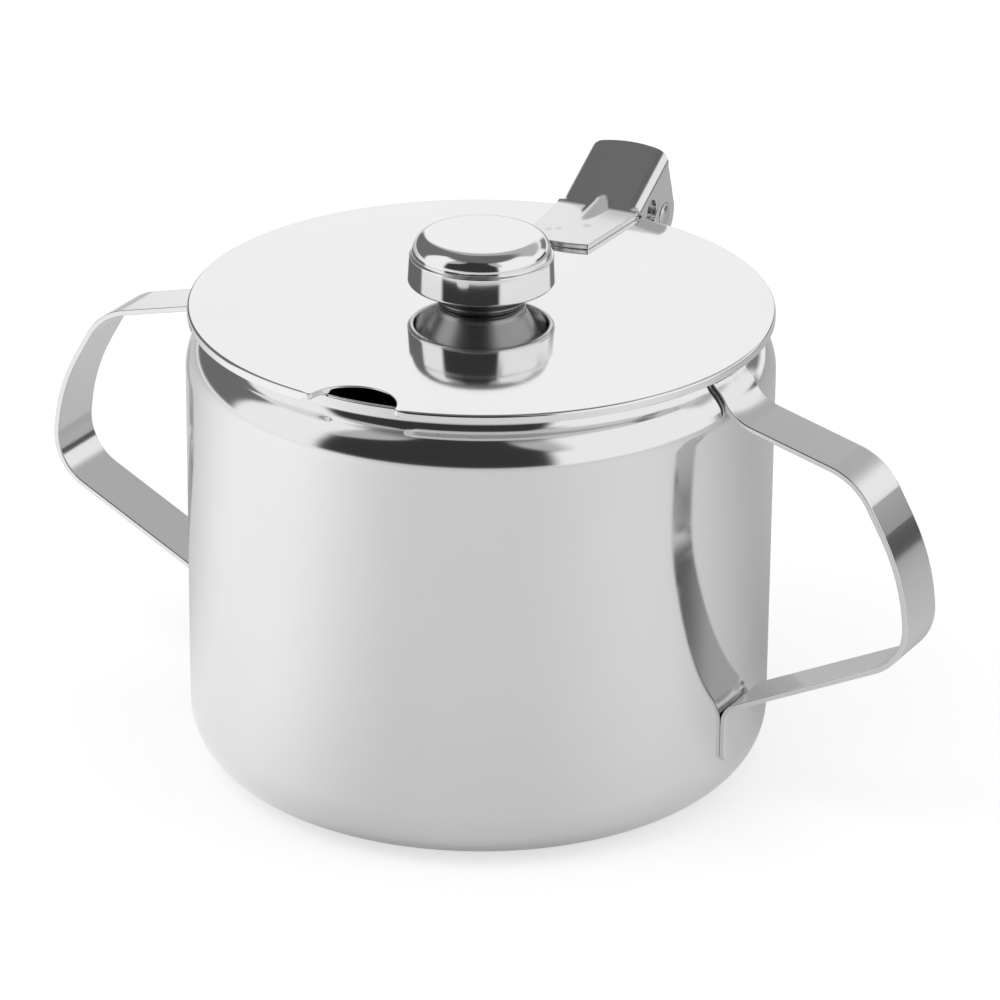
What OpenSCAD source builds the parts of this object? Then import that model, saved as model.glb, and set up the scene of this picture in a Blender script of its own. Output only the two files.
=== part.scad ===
// Round steel sugar bowl with two strap handles and a hinged lid.
// Millimetres. Z is up and the bowl stands on z = 0.
// The spoon notch points along -Y, the hinge lies at +Y, the handles lie
// close to the X axis.

/* [Bowl] */
// Outside diameter of the bowl wall
body_d = 95.6; // [90:0.2:104]
// Height of the mouth rim above the table
bowl_h = 77.6; // [72:0.1:90]
// Thickness of the drawn sheet
sheet_t = 0.7; // [0.5:0.1:0.9]
// Outside radius between wall and base
base_round = 9.5; // [7:0.5:14]
// Distance from the wall in to the mouth
neck_step = 3.6; // [3:0.1:4.2]
// Radius of the shoulder where the wall turns in
shoulder_round = 8; // [7:0.1:9]
// Radius of the hollow curve under the mouth
neck_round = 3; // [2:0.1:4]
// Height of the upright ring at the mouth
neck_land = 1.3; // [1:0.1:1.8]

/* [Lid] */
// Thickness of the lid disc
lid_t = 1; // [0.7:0.1:1.2]
// Depth of the turned down edge, disc included
lid_edge = 1.5; // [1.3:0.1:1.8]
// How far the lid edge stands inside the bowl wall
lid_inset = 0.3; // [0.2:0.1:0.6]
// Radius of the round spoon notch
notch_r = 7.2; // [6:0.1:9]

/* [Knob] */
// Widest diameter of the knob
knob_d = 23.9; // [21:0.1:27]
// Height of the knob above the lid
knob_h = 11.7; // [10.5:0.1:14]
// Gap between the lid and the rim of the knob
knob_gap = 3.6; // [3:0.1:4.2]
// Radius of the top edge of the knob
knob_round = 2.4; // [1.5:0.1:3]
// Inward lean of the knob side from rim to top
knob_lean = 0.4; // [0.2:0.1:0.7]
// Thickness of the knob sheet
knob_sheet = 0.6; // [0.5:0.1:0.8]
// Diameter of the neck where it stands on the lid
neck_foot_d = 14.6; // [12:0.1:16]
// Diameter of the rivet shank under the knob
stud_d = 4; // [3:0.1:5]
// Diameter of the rivet heads under the knob
stud_head_d = 7.6; // [6.6:0.1:9]
// Height of the rivet heads under the knob
stud_head_h = 1; // [0.8:0.1:1.4]

/* [Thumb lever] */
// Width of the lever over the ears
lever_w = 14.4; // [12.8:0.1:17]
// Thickness of the lever sheet
lever_t = 0.9; // [0.8:0.05:1.1]
// Length of the flat tab in front of the bend
tab_len = 17.4; // [14:0.1:20]
// Width of the tab at its front end
tab_front_w = 11.6; // [10:0.1:14]
// Length of the thumb plate behind the bend
plate_len = 14.8; // [12:0.1:18]
// Slope of the thumb plate in degrees
plate_rise = 26.5; // [22:0.5:32]
// Inside radius of the bend between tab and plate
bend_r = 2.5; // [1.5:0.1:4]
// Outside radius of the folds along the plate
fold_r = 2.1; // [1.4:0.1:2.6]
// Bulge of the rounded end of the plate
tip_bulge = 1.3; // [0.6:0.1:2]
// Radius of the ears round the hinge pin
ear_r = 4.1; // [3.6:0.1:4.6]
// Width of the stiffening rib across the bend
rib_w = 4; // [3:0.1:5]
// Length of the rib in front of the bend
rib_front = 6.2; // [5:0.1:8]
// Length of the rib behind the bend
rib_back = 3; // [2.4:0.1:4]

/* [Hinge] */
// Diameter of the hinge pin
pin_d = 3; // [2.6:0.1:3.4]
// Distance of the pin behind the bowl wall
pin_back = 9.8; // [9:0.1:12]
// Distance of the pin below the top of the lid
pin_drop = 3.5; // [3:0.1:4.2]
// Diameter of the pin heads
pin_head_d = 4.8; // [4.2:0.1:5.6]
// Height of the pin heads
pin_head_h = 0.7; // [0.5:0.1:1]
// Thickness of the bracket strip
bracket_t = 1; // [0.8:0.05:1.2]
// Height of the bracket pad on the wall
pad_h = 12; // [9:0.5:16]
// Slope of the bracket arm in degrees
arm_rise = 30; // [26:1:36]
// Gap round the pin in the bracket knuckle
pin_play = 0.05; // [0.03:0.01:0.08]
// Gap between the knuckle and each ear
side_play = 0.2; // [0.15:0.05:0.4]

/* [Handles] */
// Width of the handle strip
strip_w = 10.5; // [8.5:0.1:12]
// Thickness of the handle strip
strip_t = 0.9; // [0.8:0.05:1.1]
// Reach of the handle from the bowl wall
reach = 32.7; // [29:0.1:36]
// Drop of the upper arm below the mouth rim, at the bowl wall
arm_drop = 7.1; // [6.4:0.1:8]
// Radius of the bend between shoulder and upper arm
root_round = 6; // [4:0.1:7]
// Slope of the upper arm in degrees
upper_slope = 14.5; // [12:0.5:18]
// Slope of the lower arm in degrees
lower_slope = 26.5; // [22:0.5:29]
// Radius of the upper corner of the handle
upper_round = 11.6; // [8:0.1:12]
// Radius of the long curve of the grip
grip_round = 34; // [24:1:36]
// Radius of the lower corner of the handle
lower_round = 9.5; // [6:0.5:10]
// Length of the lower end that lies on the wall
weld_len = 8; // [6:0.5:9]
// Turn of the handle line against the hinge line in degrees
handle_turn = 4; // [0:0.5:5]

/* [Hidden] */
$fn = 96;
// Small overlap where one shape must pass the face of another
over = 1;
// A length larger than the whole bowl
far = 400;
// How far each straight length of a strip runs into the next curve
lap = 0.15;
body_r = body_d / 2;
mouth_r = body_r - neck_step;

// Shoulder: an arc turning in, a hollow arc turning back up, the upright ring
curve_sum = shoulder_round + neck_round;
curve_run = curve_sum - neck_step;
curve_rise = sqrt(curve_sum * curve_sum - curve_run * curve_run);
neck_z = bowl_h - neck_land;
shoulder_z = neck_z - curve_rise;
turn_x = curve_run / curve_sum;
turn_z = curve_rise / curve_sum;

// Lid heights and radius
lid_z = bowl_h + lid_t;
lid_r = body_r - lid_inset;

// Knob: rim, top edge and bore of the cap
knob_r = knob_d / 2;
bead_r = 0.35;
knob_rim_r = knob_r - bead_r;
knob_top_r = knob_rim_r - knob_lean;
knob_bore_r = knob_top_r - knob_sheet;
knob_top_z = lid_z + knob_h;
knob_rim_z = lid_z + knob_gap;

// Knob: foot, flare and collar of the neck
foot_r = neck_foot_d / 2;
foot_round = 1.2;
flare_r = knob_bore_r - 1.2;
flare_z = lid_z + 0.4 * knob_h;
collar_z = lid_z + 0.55 * knob_h;
collar_h = 1.6;
stud_r = stud_d / 2;
stud_head_r = stud_head_d / 2;

// Hinge: place of the pin and sizes of the knuckle
pin_r = pin_d / 2;
pin_head_r = pin_head_d / 2;
pin_y = body_r + pin_back;
pin_z = lid_z - pin_drop;
bore_r = pin_r + pin_play;
knuckle_r = bore_r + bracket_t;
knuckle_w = lever_w - 2 * lever_t - 2 * side_play;
seam_at = 236;
seam_w = 0.3;
pad_bend = 1.5;
pad_corner = 2;

// Lever: the bend lies just inside the edge of the lid
bend_y = lid_r - 2;
bend_cut = bend_r * tan(plate_rise / 2);
tab_y = bend_y - tab_len;
lever_z = lid_z + lever_t;
front_round = 20;
tip_r = (lever_w * lever_w / 4 + tip_bulge * tip_bulge) / (2 * tip_bulge);

// Lever: foot of the ears behind the lid edge and the arch in front of the pin
ear_clear = 0.3;
ear_foot_y = lid_r + 0.6;
ear_foot_drop = 1.2;
arch_r = 2;
arch_y = pin_y - ear_r - arch_r + 0.7;
ear_depth = 14;
pin_at = [pin_y, pin_z];
knee = [bend_y, lever_z];
plate_out = [cos(plate_rise), sin(plate_rise)];
plate_up = [-sin(plate_rise), cos(plate_rise)];
// Rear edge of the ear: from under the plate's end, tangent to the round end
ear_tail = knee + (plate_len - 0.6) * plate_out - (lever_t + 0.05) * plate_up;
ear_rest = ear_tail - pin_at;
ear_turn = atan2(ear_rest[1], ear_rest[0]) - acos(ear_r / norm(ear_rest));
ear_touch = pin_at + (ear_r - 0.01) * [cos(ear_turn), sin(ear_turn)];

// Rib: a round ridge laid over the bend
rib_lift = rib_back * sin(plate_rise);
rib_run = rib_front + rib_back * cos(plate_rise);
rib_h = rib_lift * rib_front / rib_run;
rib_round = (rib_w * rib_w / 4 + rib_h * rib_h) / (2 * rib_h);
rib_tilt = atan(rib_lift / rib_run);
rib_keep = 0.3;

// Handle: corner points of the outer line of the strip
root = [body_r - 0.5, bowl_h - arm_drop];
heel_x = body_r + reach;
corner_x = heel_x - 10.1;
corner = [corner_x, root[1] - (corner_x - root[0]) * tan(upper_slope)];
grip = [heel_x - 1.5, corner[1] - 0.193 * bowl_h];
heel = [heel_x, grip[1] - 0.188 * bowl_h];
weld_x = body_r + strip_t;
weld = [weld_x, heel[1] - (heel_x - weld_x) * tan(lower_slope)];
weld_round = 2.5;
strip_top = 1.3;

// Handle: the bend at the root touches the shoulder from outside
arc_at = [body_r - shoulder_round, shoulder_z];
arm_out = [cos(upper_slope), -sin(upper_slope)];
arm_up = [sin(upper_slope), cos(upper_slope)];
root_lift = (root - arc_at) * arm_up + root_round;
root_arm = shoulder_round + strip_t + root_round;
root_run = sqrt(root_arm * root_arm - root_lift * root_lift);
root_c = arc_at + root_lift * arm_up + root_run * arm_out;
root_turn = atan2(root_c[1] - arc_at[1], root_c[0] - arc_at[0]);
strip_end = 2;

// Unit vector of a direction in degrees
function unit(t) = [cos(t), sin(t)];
// Direction of the line from one point to another
function heading(a, b) = atan2(b[1] - a[1], b[0] - a[0]);
// Length used up by a curve on each side of its corner
function cut_back(r, turn) = r * tan(abs(turn) / 2);

// Shape drawn in side view, y and z, and made w wide across the hinge line
module across(w) {
    translate([-w / 2, 0, 0])
        rotate([90, 0, 90])
            linear_extrude(w)
                children();
}

// Half outline of the bowl filled to the given height, drawn in by a distance
module bowl_half(inward, top) {
    base_c = body_r - base_round;
    arc_c = body_r - shoulder_round;
    join_x = arc_c + (shoulder_round - inward) * turn_x;
    join_z = shoulder_z + (shoulder_round - inward) * turn_z;
    difference() {
        union() {
            translate([0, inward])
                square([base_c, shoulder_z - inward]);
            translate([0, base_round])
                square([body_r - inward, shoulder_z - base_round]);
            intersection() {
                translate([base_c, base_round])
                    circle(r = base_round - inward);
                translate([base_c - over, -2 * over])
                    square([base_round + 3 * over, base_round + 3 * over]);
            }
            intersection() {
                translate([arc_c, shoulder_z])
                    circle(r = shoulder_round - inward);
                translate([arc_c - over, shoulder_z - over])
                    square([shoulder_round + 2 * over, join_z - shoulder_z + over]);
            }
            translate([0, shoulder_z - over])
                square([join_x, neck_z - shoulder_z + over]);
            translate([0, neck_z - over])
                square([mouth_r - inward, top - neck_z + over]);
        }
        translate([mouth_r + neck_round, neck_z])
            circle(r = neck_round + inward);
    }
}

module bowl_solid(inward, top) {
    rotate_extrude()
        bowl_half(inward, top);
}

module bowl() {
    color("silver")
        difference() {
            bowl_solid(0, bowl_h);
            bowl_solid(sheet_t, bowl_h + over);
        }
}

// Sheet of the given thickness lying on the outside of the bowl
module bowl_skin(thick) {
    difference() {
        bowl_solid(-thick, bowl_h);
        bowl_solid(0, bowl_h + over);
    }
}

// Straight length of strip from a to b, its body on the right hand side
module strip_leg(a, b, thick) {
    side = unit(heading(a, b) - 90) * thick;
    start = a - lap * unit(heading(a, b));
    end = b + lap * unit(heading(a, b));
    polygon([start, end, end + side, start + side]);
}

// Curved length of strip round the centre c between two directions
module strip_arc(c, r_in, r_out, from, to) {
    intersection() {
        difference() {
            translate(c)
                circle(r = r_out);
            translate(c)
                circle(r = r_in);
        }
        polygon([
            c,
            c + 3 * r_out * unit(from),
            c + 3 * r_out * unit((from + to) / 2),
            c + 3 * r_out * unit(to)
        ]);
    }
}

// Right hand curve of the handle strip round a corner
module strip_turn(p, r, t_in, t_out) {
    c = p - cut_back(r, t_out - t_in) * unit(t_in) + r * unit(t_in - 90);
    strip_arc(c, r - strip_t, r, t_out + 90, t_in + 90);
}

// Side view of the handle strip, from the shoulder round to the wall
module handle_side() {
    t1 = heading(root, corner);
    t2 = heading(corner, grip);
    t3 = heading(grip, heel);
    t4 = heading(heel, weld);
    t5 = -90;
    c2 = cut_back(upper_round, t2 - t1);
    c4 = cut_back(lower_round, t4 - t3);
    c5 = cut_back(weld_round, t5 - t4);
    // The long curve of the grip takes what the two corners leave
    room = min(norm(grip - corner) - c2, norm(heel - grip) - c4) - 0.5;
    grip_fit = min(grip_round, room / tan(abs(t3 - t2) / 2));
    c3 = cut_back(grip_fit, t3 - t2);
    strip_arc(root_c, root_round, root_round + strip_t, root_turn + 180, t1 + 270);
    strip_leg(root_c - root_round * arm_up, corner - c2 * unit(t1), strip_t);
    strip_turn(corner, upper_round, t1, t2);
    strip_leg(corner + c2 * unit(t2), grip - c3 * unit(t2), strip_t);
    strip_turn(grip, grip_fit, t2, t3);
    strip_leg(grip + c3 * unit(t3), heel - c4 * unit(t3), strip_t);
    strip_turn(heel, lower_round, t3, t4);
    strip_leg(heel + c4 * unit(t4), weld - c5 * unit(t4), strip_t);
    weld_c = weld - c5 * unit(t4) + weld_round * unit(t4 + 90);
    strip_arc(weld_c, weld_round, weld_round + strip_t, t4 - 90, t5 - 90);
    strip_leg(weld + c5 * unit(t5), weld + (c5 + 1) * unit(t5), strip_t);
}

// Flat plate with round lower corners, seen along the x axis
module pad_shape(w, low, high, r) {
    translate([-w / 2, low + r])
        square([w, high - low - r]);
    translate([-w / 2 + r, low])
        square([w - 2 * r, high - low]);
    translate([-w / 2 + r, low + r])
        circle(r = r);
    translate([w / 2 - r, low + r])
        circle(r = r);
}

// Strap handle on the +x side of the bowl
module strap_handle() {
    weld_top = weld[1] - cut_back(weld_round, 90 - lower_slope);
    difference() {
        rotate([90, 0, 0])
            translate([0, 0, -strip_w / 2])
                linear_extrude(strip_w)
                    handle_side();
        bowl_solid(0, bowl_h);
    }
    // End of the strip lying on the shoulder, above the bend
    intersection() {
        bowl_skin(strip_t);
        rotate([90, 0, 0])
            translate([0, 0, -strip_w / 2])
                linear_extrude(strip_w)
                    polygon([
                        arc_at,
                        arc_at + 2 * root_arm * unit(root_turn - 1),
                        [arc_at[0] + 2 * root_arm, bowl_h - strip_top],
                        [arc_at[0], bowl_h - strip_top]
                    ]);
    }
    // End of the strip lying on the wall
    intersection() {
        bowl_skin(strip_t);
        rotate([90, 0, 90])
            linear_extrude(far)
                pad_shape(strip_w, weld_top - weld_len, weld_top, strip_end);
    }
}

module handle_right() {
    color("silver")
        rotate([0, 0, -handle_turn])
            strap_handle();
}

module handle_left() {
    color("silver")
        rotate([0, 0, 180 - handle_turn])
            strap_handle();
}

// Side view of the bracket arm and of its rolled knuckle
module bracket_side() {
    pin = [pin_y, pin_z];
    out = unit(arm_rise);
    up = unit(arm_rise + 90);
    low_end = pin - (knuckle_r - 0.02) * up;
    wall_end = low_end - (low_end[0] - body_r + over) / out[0] * out;
    face_y = body_r + bracket_t;
    // Point where the underside of the arm leaves the pad
    bend_at = low_end - (low_end[0] - face_y) / out[0] * out;
    bend_len = cut_back(pad_bend, 90 - arm_rise);
    bend_c = [face_y + pad_bend, bend_at[1] - bend_len];
    difference() {
        union() {
            polygon([wall_end, low_end, low_end + bracket_t * up, wall_end + bracket_t * up]);
            translate(pin)
                circle(r = knuckle_r);
            difference() {
                polygon([
                    bend_at + bend_len * out,
                    bend_at + bend_len * out + bracket_t / 2 * up,
                    bend_at + bracket_t / 2 * up,
                    [body_r, bend_at[1]],
                    [body_r, bend_c[1]],
                    bend_c
                ]);
                translate(bend_c)
                    circle(r = pad_bend);
            }
        }
        translate(pin)
            circle(r = bore_r);
        // Seam where the end of the rolled strip meets the arm
        translate(pin)
            rotate(seam_at)
                translate([0, -seam_w / 2])
                    square([knuckle_r + over, seam_w]);
    }
}

module hinge_bracket() {
    pin = [pin_y, pin_z];
    low_end = pin - knuckle_r * unit(arm_rise + 90);
    arm_foot = low_end[1] - (low_end[0] - body_r) * tan(arm_rise);
    color("gray") {
        difference() {
            across(knuckle_w)
                bracket_side();
            bowl_solid(0, bowl_h);
        }
        intersection() {
            bowl_skin(bracket_t);
            translate([0, far, 0])
                rotate([90, 0, 0])
                    linear_extrude(far)
                        pad_shape(knuckle_w, arm_foot - pad_h, arm_foot + bracket_t, pad_corner);
        }
    }
}

// Low round head standing on z = 0
module dome(r, h) {
    ball = (r * r + h * h) / (2 * h);
    intersection() {
        translate([0, 0, h - ball])
            sphere(r = ball);
        cylinder(r = r, h = h);
    }
}

module hinge_pin() {
    color("dimgray")
        translate([0, pin_y, pin_z])
            rotate([0, 90, 0]) {
                cylinder(r = pin_r, h = lever_w, center = true);
                for (side = [0, 180])
                    rotate([side, 0, 0])
                        translate([0, 0, lever_w / 2])
                            dome(pin_head_r, pin_head_h);
            }
}

module lid() {
    disc_r = lid_r - lid_t;
    color("gainsboro")
        difference() {
            rotate_extrude() {
                translate([0, bowl_h])
                    square([disc_r, lid_t]);
                intersection() {
                    translate([disc_r, bowl_h])
                        circle(r = lid_t);
                    translate([disc_r, bowl_h])
                        square(lid_t);
                }
                translate([disc_r, lid_z - lid_edge])
                    square([lid_t, lid_edge - lid_t]);
            }
            // Spoon notch
            translate([0, -lid_r, lid_z - lid_edge - over])
                cylinder(r = notch_r, h = lid_edge + 3 * over);
            // Hole for the rivet of the knob
            translate([0, 0, bowl_h - over])
                cylinder(r = stud_r, h = lid_t + 2 * over);
        }
}

// Places a shape on the top face of the thumb plate, y along the plate
module on_plate() {
    translate([0, bend_y, lever_z])
        rotate([plate_rise, 0, 0])
            children();
}

// Section across the hood with its two folds, top at z = 0
module hood_section(w, r, depth) {
    flat = w - 2 * r;
    translate([-w / 2, -depth])
        square([w, depth - r]);
    translate([-flat / 2, -depth])
        square([flat, depth]);
    for (side = [0, 1])
        mirror([side, 0])
            intersection() {
                translate([flat / 2, -r])
                    circle(r = r);
                translate([flat / 2 - r / 2, -1.2 * r])
                    square(1.6 * r);
            }
}

// Thumb plate with two deep folds along its sides
module folded_plate() {
    full_len = plate_len + 2 * tip_bulge;
    difference() {
        intersection() {
            on_plate()
                translate([0, full_len, 0])
                    rotate([90, 0, 0])
                        linear_extrude(full_len - bend_cut + lap)
                            hood_section(lever_w, fold_r, ear_depth);
            on_plate()
                translate([0, plate_len + tip_bulge - tip_r, -2 * ear_depth])
                    cylinder(r = tip_r, h = 3 * ear_depth);
        }
        on_plate()
            translate([0, full_len + over, -lever_t])
                rotate([90, 0, 0])
                    linear_extrude(full_len + 2 * over)
                        hood_section(lever_w - 2 * lever_t, fold_r - lever_t, 2 * ear_depth);
    }
}

// Side view of what is cut from the deep folds to leave the ears
module ear_waste() {
    foot_z = lid_z - ear_foot_drop;
    low_z = pin_z - 2 * ear_r;
    difference() {
        union() {
            // In front the folds begin clear of the lid
            polygon([
                [bend_y, lid_z - 0.2],
                [ear_foot_y - 0.4, lid_z + ear_clear],
                [ear_foot_y, lid_z + ear_clear],
                [ear_foot_y, low_z],
                [bend_y, low_z]
            ]);
            // Straight foot in front of the arch
            translate([ear_foot_y - over, low_z])
                square([3 * ear_r, foot_z - low_z]);
            // Arch in front of the pin
            translate([arch_y, foot_z + 0.3])
                circle(r = arch_r);
            translate([arch_y - arch_r, low_z])
                square([2 * arch_r, foot_z + 0.3 - low_z]);
            // Below and behind the pin
            translate([pin_y, low_z])
                square([3 * ear_r, pin_z - low_z]);
            // Behind the rear edge, which runs tangent to the round end
            polygon([
                ear_tail,
                ear_touch + (ear_touch - ear_tail),
                ear_touch + 2 * plate_len * plate_out,
                ear_tail + 2 * plate_len * plate_out
            ]);
        }
        // Round end of the ear
        translate(pin_at)
            circle(r = ear_r);
    }
}

// Thumb plate and both ears, folded from one sheet
module hood() {
    difference() {
        folded_plate();
        across(lever_w + 2 * over)
            ear_waste();
    }
}

// Flat tab lying on the lid, and the bend up to the plate
module tab() {
    back_y = bend_y - bend_cut;
    translate([0, 0, lid_z])
        linear_extrude(lever_t)
            intersection() {
                polygon([
                    [-tab_front_w / 2, tab_y],
                    [tab_front_w / 2, tab_y],
                    [lever_w / 2, back_y + lap],
                    [-lever_w / 2, back_y + lap]
                ]);
                translate([0, tab_y + front_round])
                    circle(r = front_round);
            }
    across(lever_w)
        strip_arc([back_y, lever_z + bend_r], bend_r, bend_r + lever_t, -90, plate_rise - 90);
}

// Round bar along the rib, its top line on the ridge
module rib_bar(r) {
    translate([0, bend_y - rib_front, lever_z])
        rotate([rib_tilt, 0, 0])
            translate([0, -over, -rib_round])
                rotate([-90, 0, 0])
                    cylinder(r = r, h = rib_run + 2 * over);
}

// The part of the ridge that stands over the sheet
module rib() {
    far_y = rib_back + over;
    intersection() {
        rib_bar(rib_round);
        across(2 * rib_w)
            polygon([
                [bend_y - rib_front - over, lid_z + rib_keep],
                [bend_y, lid_z + rib_keep],
                [bend_y + far_y * cos(plate_rise), lid_z + rib_keep + far_y * sin(plate_rise)],
                [bend_y + far_y * cos(plate_rise), lid_z + 4 * rib_w],
                [bend_y - rib_front - over, lid_z + 4 * rib_w]
            ]);
    }
}

module thumb_lever() {
    color("lightgray")
        difference() {
            union() {
                tab();
                hood();
                rib();
            }
            rib_bar(rib_round - lever_t);
            translate([0, pin_y, pin_z])
                rotate([0, 90, 0])
                    cylinder(r = pin_r, h = lever_w + 2 * over, center = true);
        }
}

// Half outline of the neck filled up to its collar, drawn in by a distance
module neck_half(inward) {
    low = lid_z + inward;
    translate([0, low])
        square([foot_r - foot_round, collar_z + collar_h - low]);
    translate([foot_r - foot_round, lid_z + foot_round])
        intersection() {
            circle(r = foot_round - inward);
            translate([-over, -foot_round])
                square([foot_round + over, foot_round]);
        }
    polygon([
        [0, lid_z + foot_round],
        [foot_r - inward, lid_z + foot_round],
        [flare_r - inward, flare_z],
        [knob_bore_r - inward, collar_z],
        [knob_bore_r - inward, collar_z + collar_h],
        [0, collar_z + collar_h]
    ]);
}

module knob_neck() {
    color("silver")
        difference() {
            rotate_extrude()
                neck_half(0);
            rotate_extrude()
                neck_half(knob_sheet);
            translate([0, 0, lid_z - over])
                cylinder(r = stud_r, h = knob_sheet + 2 * over);
        }
}

// Half outline of the cap filled, drawn in by a distance
module cap_half(inward, low) {
    top_c = knob_top_r - knob_round;
    side_z = knob_top_z - knob_round;
    translate([0, low])
        square([top_c, knob_top_z - inward - low]);
    intersection() {
        translate([top_c, side_z])
            circle(r = knob_round - inward);
        translate([top_c - over, side_z])
            square(knob_round + over);
    }
    polygon([
        [0, low],
        [knob_rim_r - inward, low],
        [knob_rim_r - inward, knob_rim_z],
        [knob_top_r - inward, collar_z],
        [knob_top_r - inward, side_z],
        [0, side_z]
    ]);
}

module knob_cap() {
    color("gainsboro")
        difference() {
            rotate_extrude() {
                cap_half(0, knob_rim_z);
                translate([knob_rim_r, knob_rim_z + bead_r])
                    circle(r = bead_r);
            }
            rotate_extrude()
                cap_half(knob_sheet, knob_rim_z - over);
        }
}

module knob_rivet() {
    color("dimgray") {
        translate([0, 0, bowl_h])
            cylinder(r = stud_r, h = lid_t + knob_sheet);
        translate([0, 0, lid_z + knob_sheet])
            dome(stud_head_r, stud_head_h);
        translate([0, 0, bowl_h])
            mirror([0, 0, 1])
                dome(stud_head_r, stud_head_h);
    }
}

bowl();
handle_left();
handle_right();
hinge_bracket();
hinge_pin();
lid();
thumb_lever();
knob_neck();
knob_cap();
knob_rivet();
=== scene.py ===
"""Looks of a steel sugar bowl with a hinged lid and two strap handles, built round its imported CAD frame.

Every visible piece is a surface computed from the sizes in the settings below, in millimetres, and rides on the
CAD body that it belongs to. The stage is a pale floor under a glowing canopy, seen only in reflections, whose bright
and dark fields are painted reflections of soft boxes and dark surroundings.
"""

import math

import bpy
import numpy as np
from bpy.props import FloatProperty, FloatVectorProperty, PointerProperty
from mathutils import Matrix, Vector


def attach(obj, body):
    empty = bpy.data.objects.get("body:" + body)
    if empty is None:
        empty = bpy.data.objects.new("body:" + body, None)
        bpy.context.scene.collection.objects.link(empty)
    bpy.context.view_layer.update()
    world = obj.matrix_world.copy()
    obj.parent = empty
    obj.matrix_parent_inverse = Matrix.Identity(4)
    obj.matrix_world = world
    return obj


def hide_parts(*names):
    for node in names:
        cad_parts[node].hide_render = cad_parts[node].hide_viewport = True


bl_info = {
    "name": "Steel sugar bowl",
    "version": (1, 0, 0),
    "blender": (4, 5, 0),
    "location": "View3D > Sidebar > Sugar bowl",
    "description": "Builds a steel sugar bowl with a hinged lid, two strap handles and its studio",
    "category": "Object",
}

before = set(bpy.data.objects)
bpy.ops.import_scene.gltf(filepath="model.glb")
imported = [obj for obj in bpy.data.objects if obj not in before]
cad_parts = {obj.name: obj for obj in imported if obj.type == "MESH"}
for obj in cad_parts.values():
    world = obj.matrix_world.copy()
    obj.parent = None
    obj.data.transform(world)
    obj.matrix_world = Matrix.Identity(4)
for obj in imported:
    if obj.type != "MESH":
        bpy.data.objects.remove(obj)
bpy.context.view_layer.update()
MM = 0.001
TINY = 1e-4

# Places along the lever's plate where the ears begin, change their edge and end, and the radius of their arch
EAR_MARKS = (2.0, 2.35, 3.53, 3.65, 9.5, 13.34, 13.82, 14.04)
EAR_FROM, EAR_TO = EAR_MARKS[0], EAR_MARKS[-1]
ARCH_MIDDLE, LOBE_TURN, ARCH_ROUND = 6.3, 13.45, 2.0

# Radius of the canopy over the stage
DOME = 2500.0


# Curves: points and directions along lines and arcs


def unit(turn):
    """Unit vectors for directions in degrees, as an array with one row for each direction."""
    a = np.radians(turn)
    return np.stack([np.cos(a), np.sin(a)], axis=-1)


def ease(t):
    """Smooth step 3 t^2 - 2 t^3 of a share between 0 and 1."""
    return t * t * (3.0 - 2.0 * t)


def line(a, b, step=2.0):
    """Points spread evenly from a to b, both ends included, with a pair of close points near each end."""
    a, b = np.asarray(a, float), np.asarray(b, float)
    length = float(np.linalg.norm(b - a))
    inner = np.linspace(0.0, 1.0, max(2, int(math.ceil(length / step)) + 1))
    hold = min(0.12 / max(length, 1e-6), 0.2)
    t = np.unique(np.concatenate([[0.0, hold], inner, [1.0 - hold, 1.0]]))
    t = t[np.concatenate([[True], np.diff(t) > TINY])]
    return a + (b - a) * t[:, None]


def arc(centre, radius, start, end, step=5.0):
    """Points on a circle: centre plus radius times the unit vector of each angle from start to end degrees."""
    count = max(3, int(math.ceil(abs(end - start) / step)) + 1)
    return np.asarray(centre, float) + radius * unit(np.linspace(start, end, count))


def chain(*parts):
    """Joins runs of points into one line and leaves out points that fall on the one before."""
    points = np.concatenate(parts)
    keep = np.concatenate([[True], np.linalg.norm(np.diff(points, axis=0), axis=1) > TINY])
    return points[keep]


def run_length(points):
    """Distance along a line of points, from zero at the first."""
    steps = np.linalg.norm(np.diff(points, axis=0), axis=1)
    return np.concatenate([[0.0], np.cumsum(steps)])


def directions(points):
    """Unit direction at each point of a line, the mean of the directions before and after it."""
    steps = np.diff(points, axis=0)
    steps = steps / np.linalg.norm(steps, axis=1)[:, None]
    mean = np.concatenate([steps[:1], steps[:-1] + steps[1:], steps[-1:]])
    return mean / np.linalg.norm(mean, axis=1)[:, None]


# Meshes from grids of points


def grid_faces(rows, columns, wrap_rows, wrap_columns):
    """Corner numbers of the four sided faces of a grid, each face counted anticlockwise seen from outside."""
    r = np.arange(rows if wrap_rows else rows - 1)
    c = np.arange(columns if wrap_columns else columns - 1)
    rr, cc = np.meshgrid(r, c, indexing="ij")
    r2, c2 = (rr + 1) % rows, (cc + 1) % columns
    corners = [rr * columns + cc, r2 * columns + cc, r2 * columns + c2, rr * columns + c2]
    return np.stack(corners, axis=-1).reshape(-1, 4)


def fan_faces(ring, pole, flip):
    """Corner numbers of the triangles between a closed ring of points and one pole."""
    after = np.roll(ring, -1)
    third = np.full(len(ring), pole)
    columns = [after, ring, third] if flip else [ring, after, third]
    return np.stack(columns, axis=-1)


def signed_volume(points, faces):
    """Volume inside a closed surface, a third of the sum of corner times area vector; negative if inside out."""
    total = 0.0
    for block in faces:
        for k in range(1, block.shape[1] - 1):
            a, b, c = points[block[:, 0]], points[block[:, k]], points[block[:, k + 1]]
            total += float(np.einsum("ij,ij->", a, np.cross(b, c))) / 6.0
    return total


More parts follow.
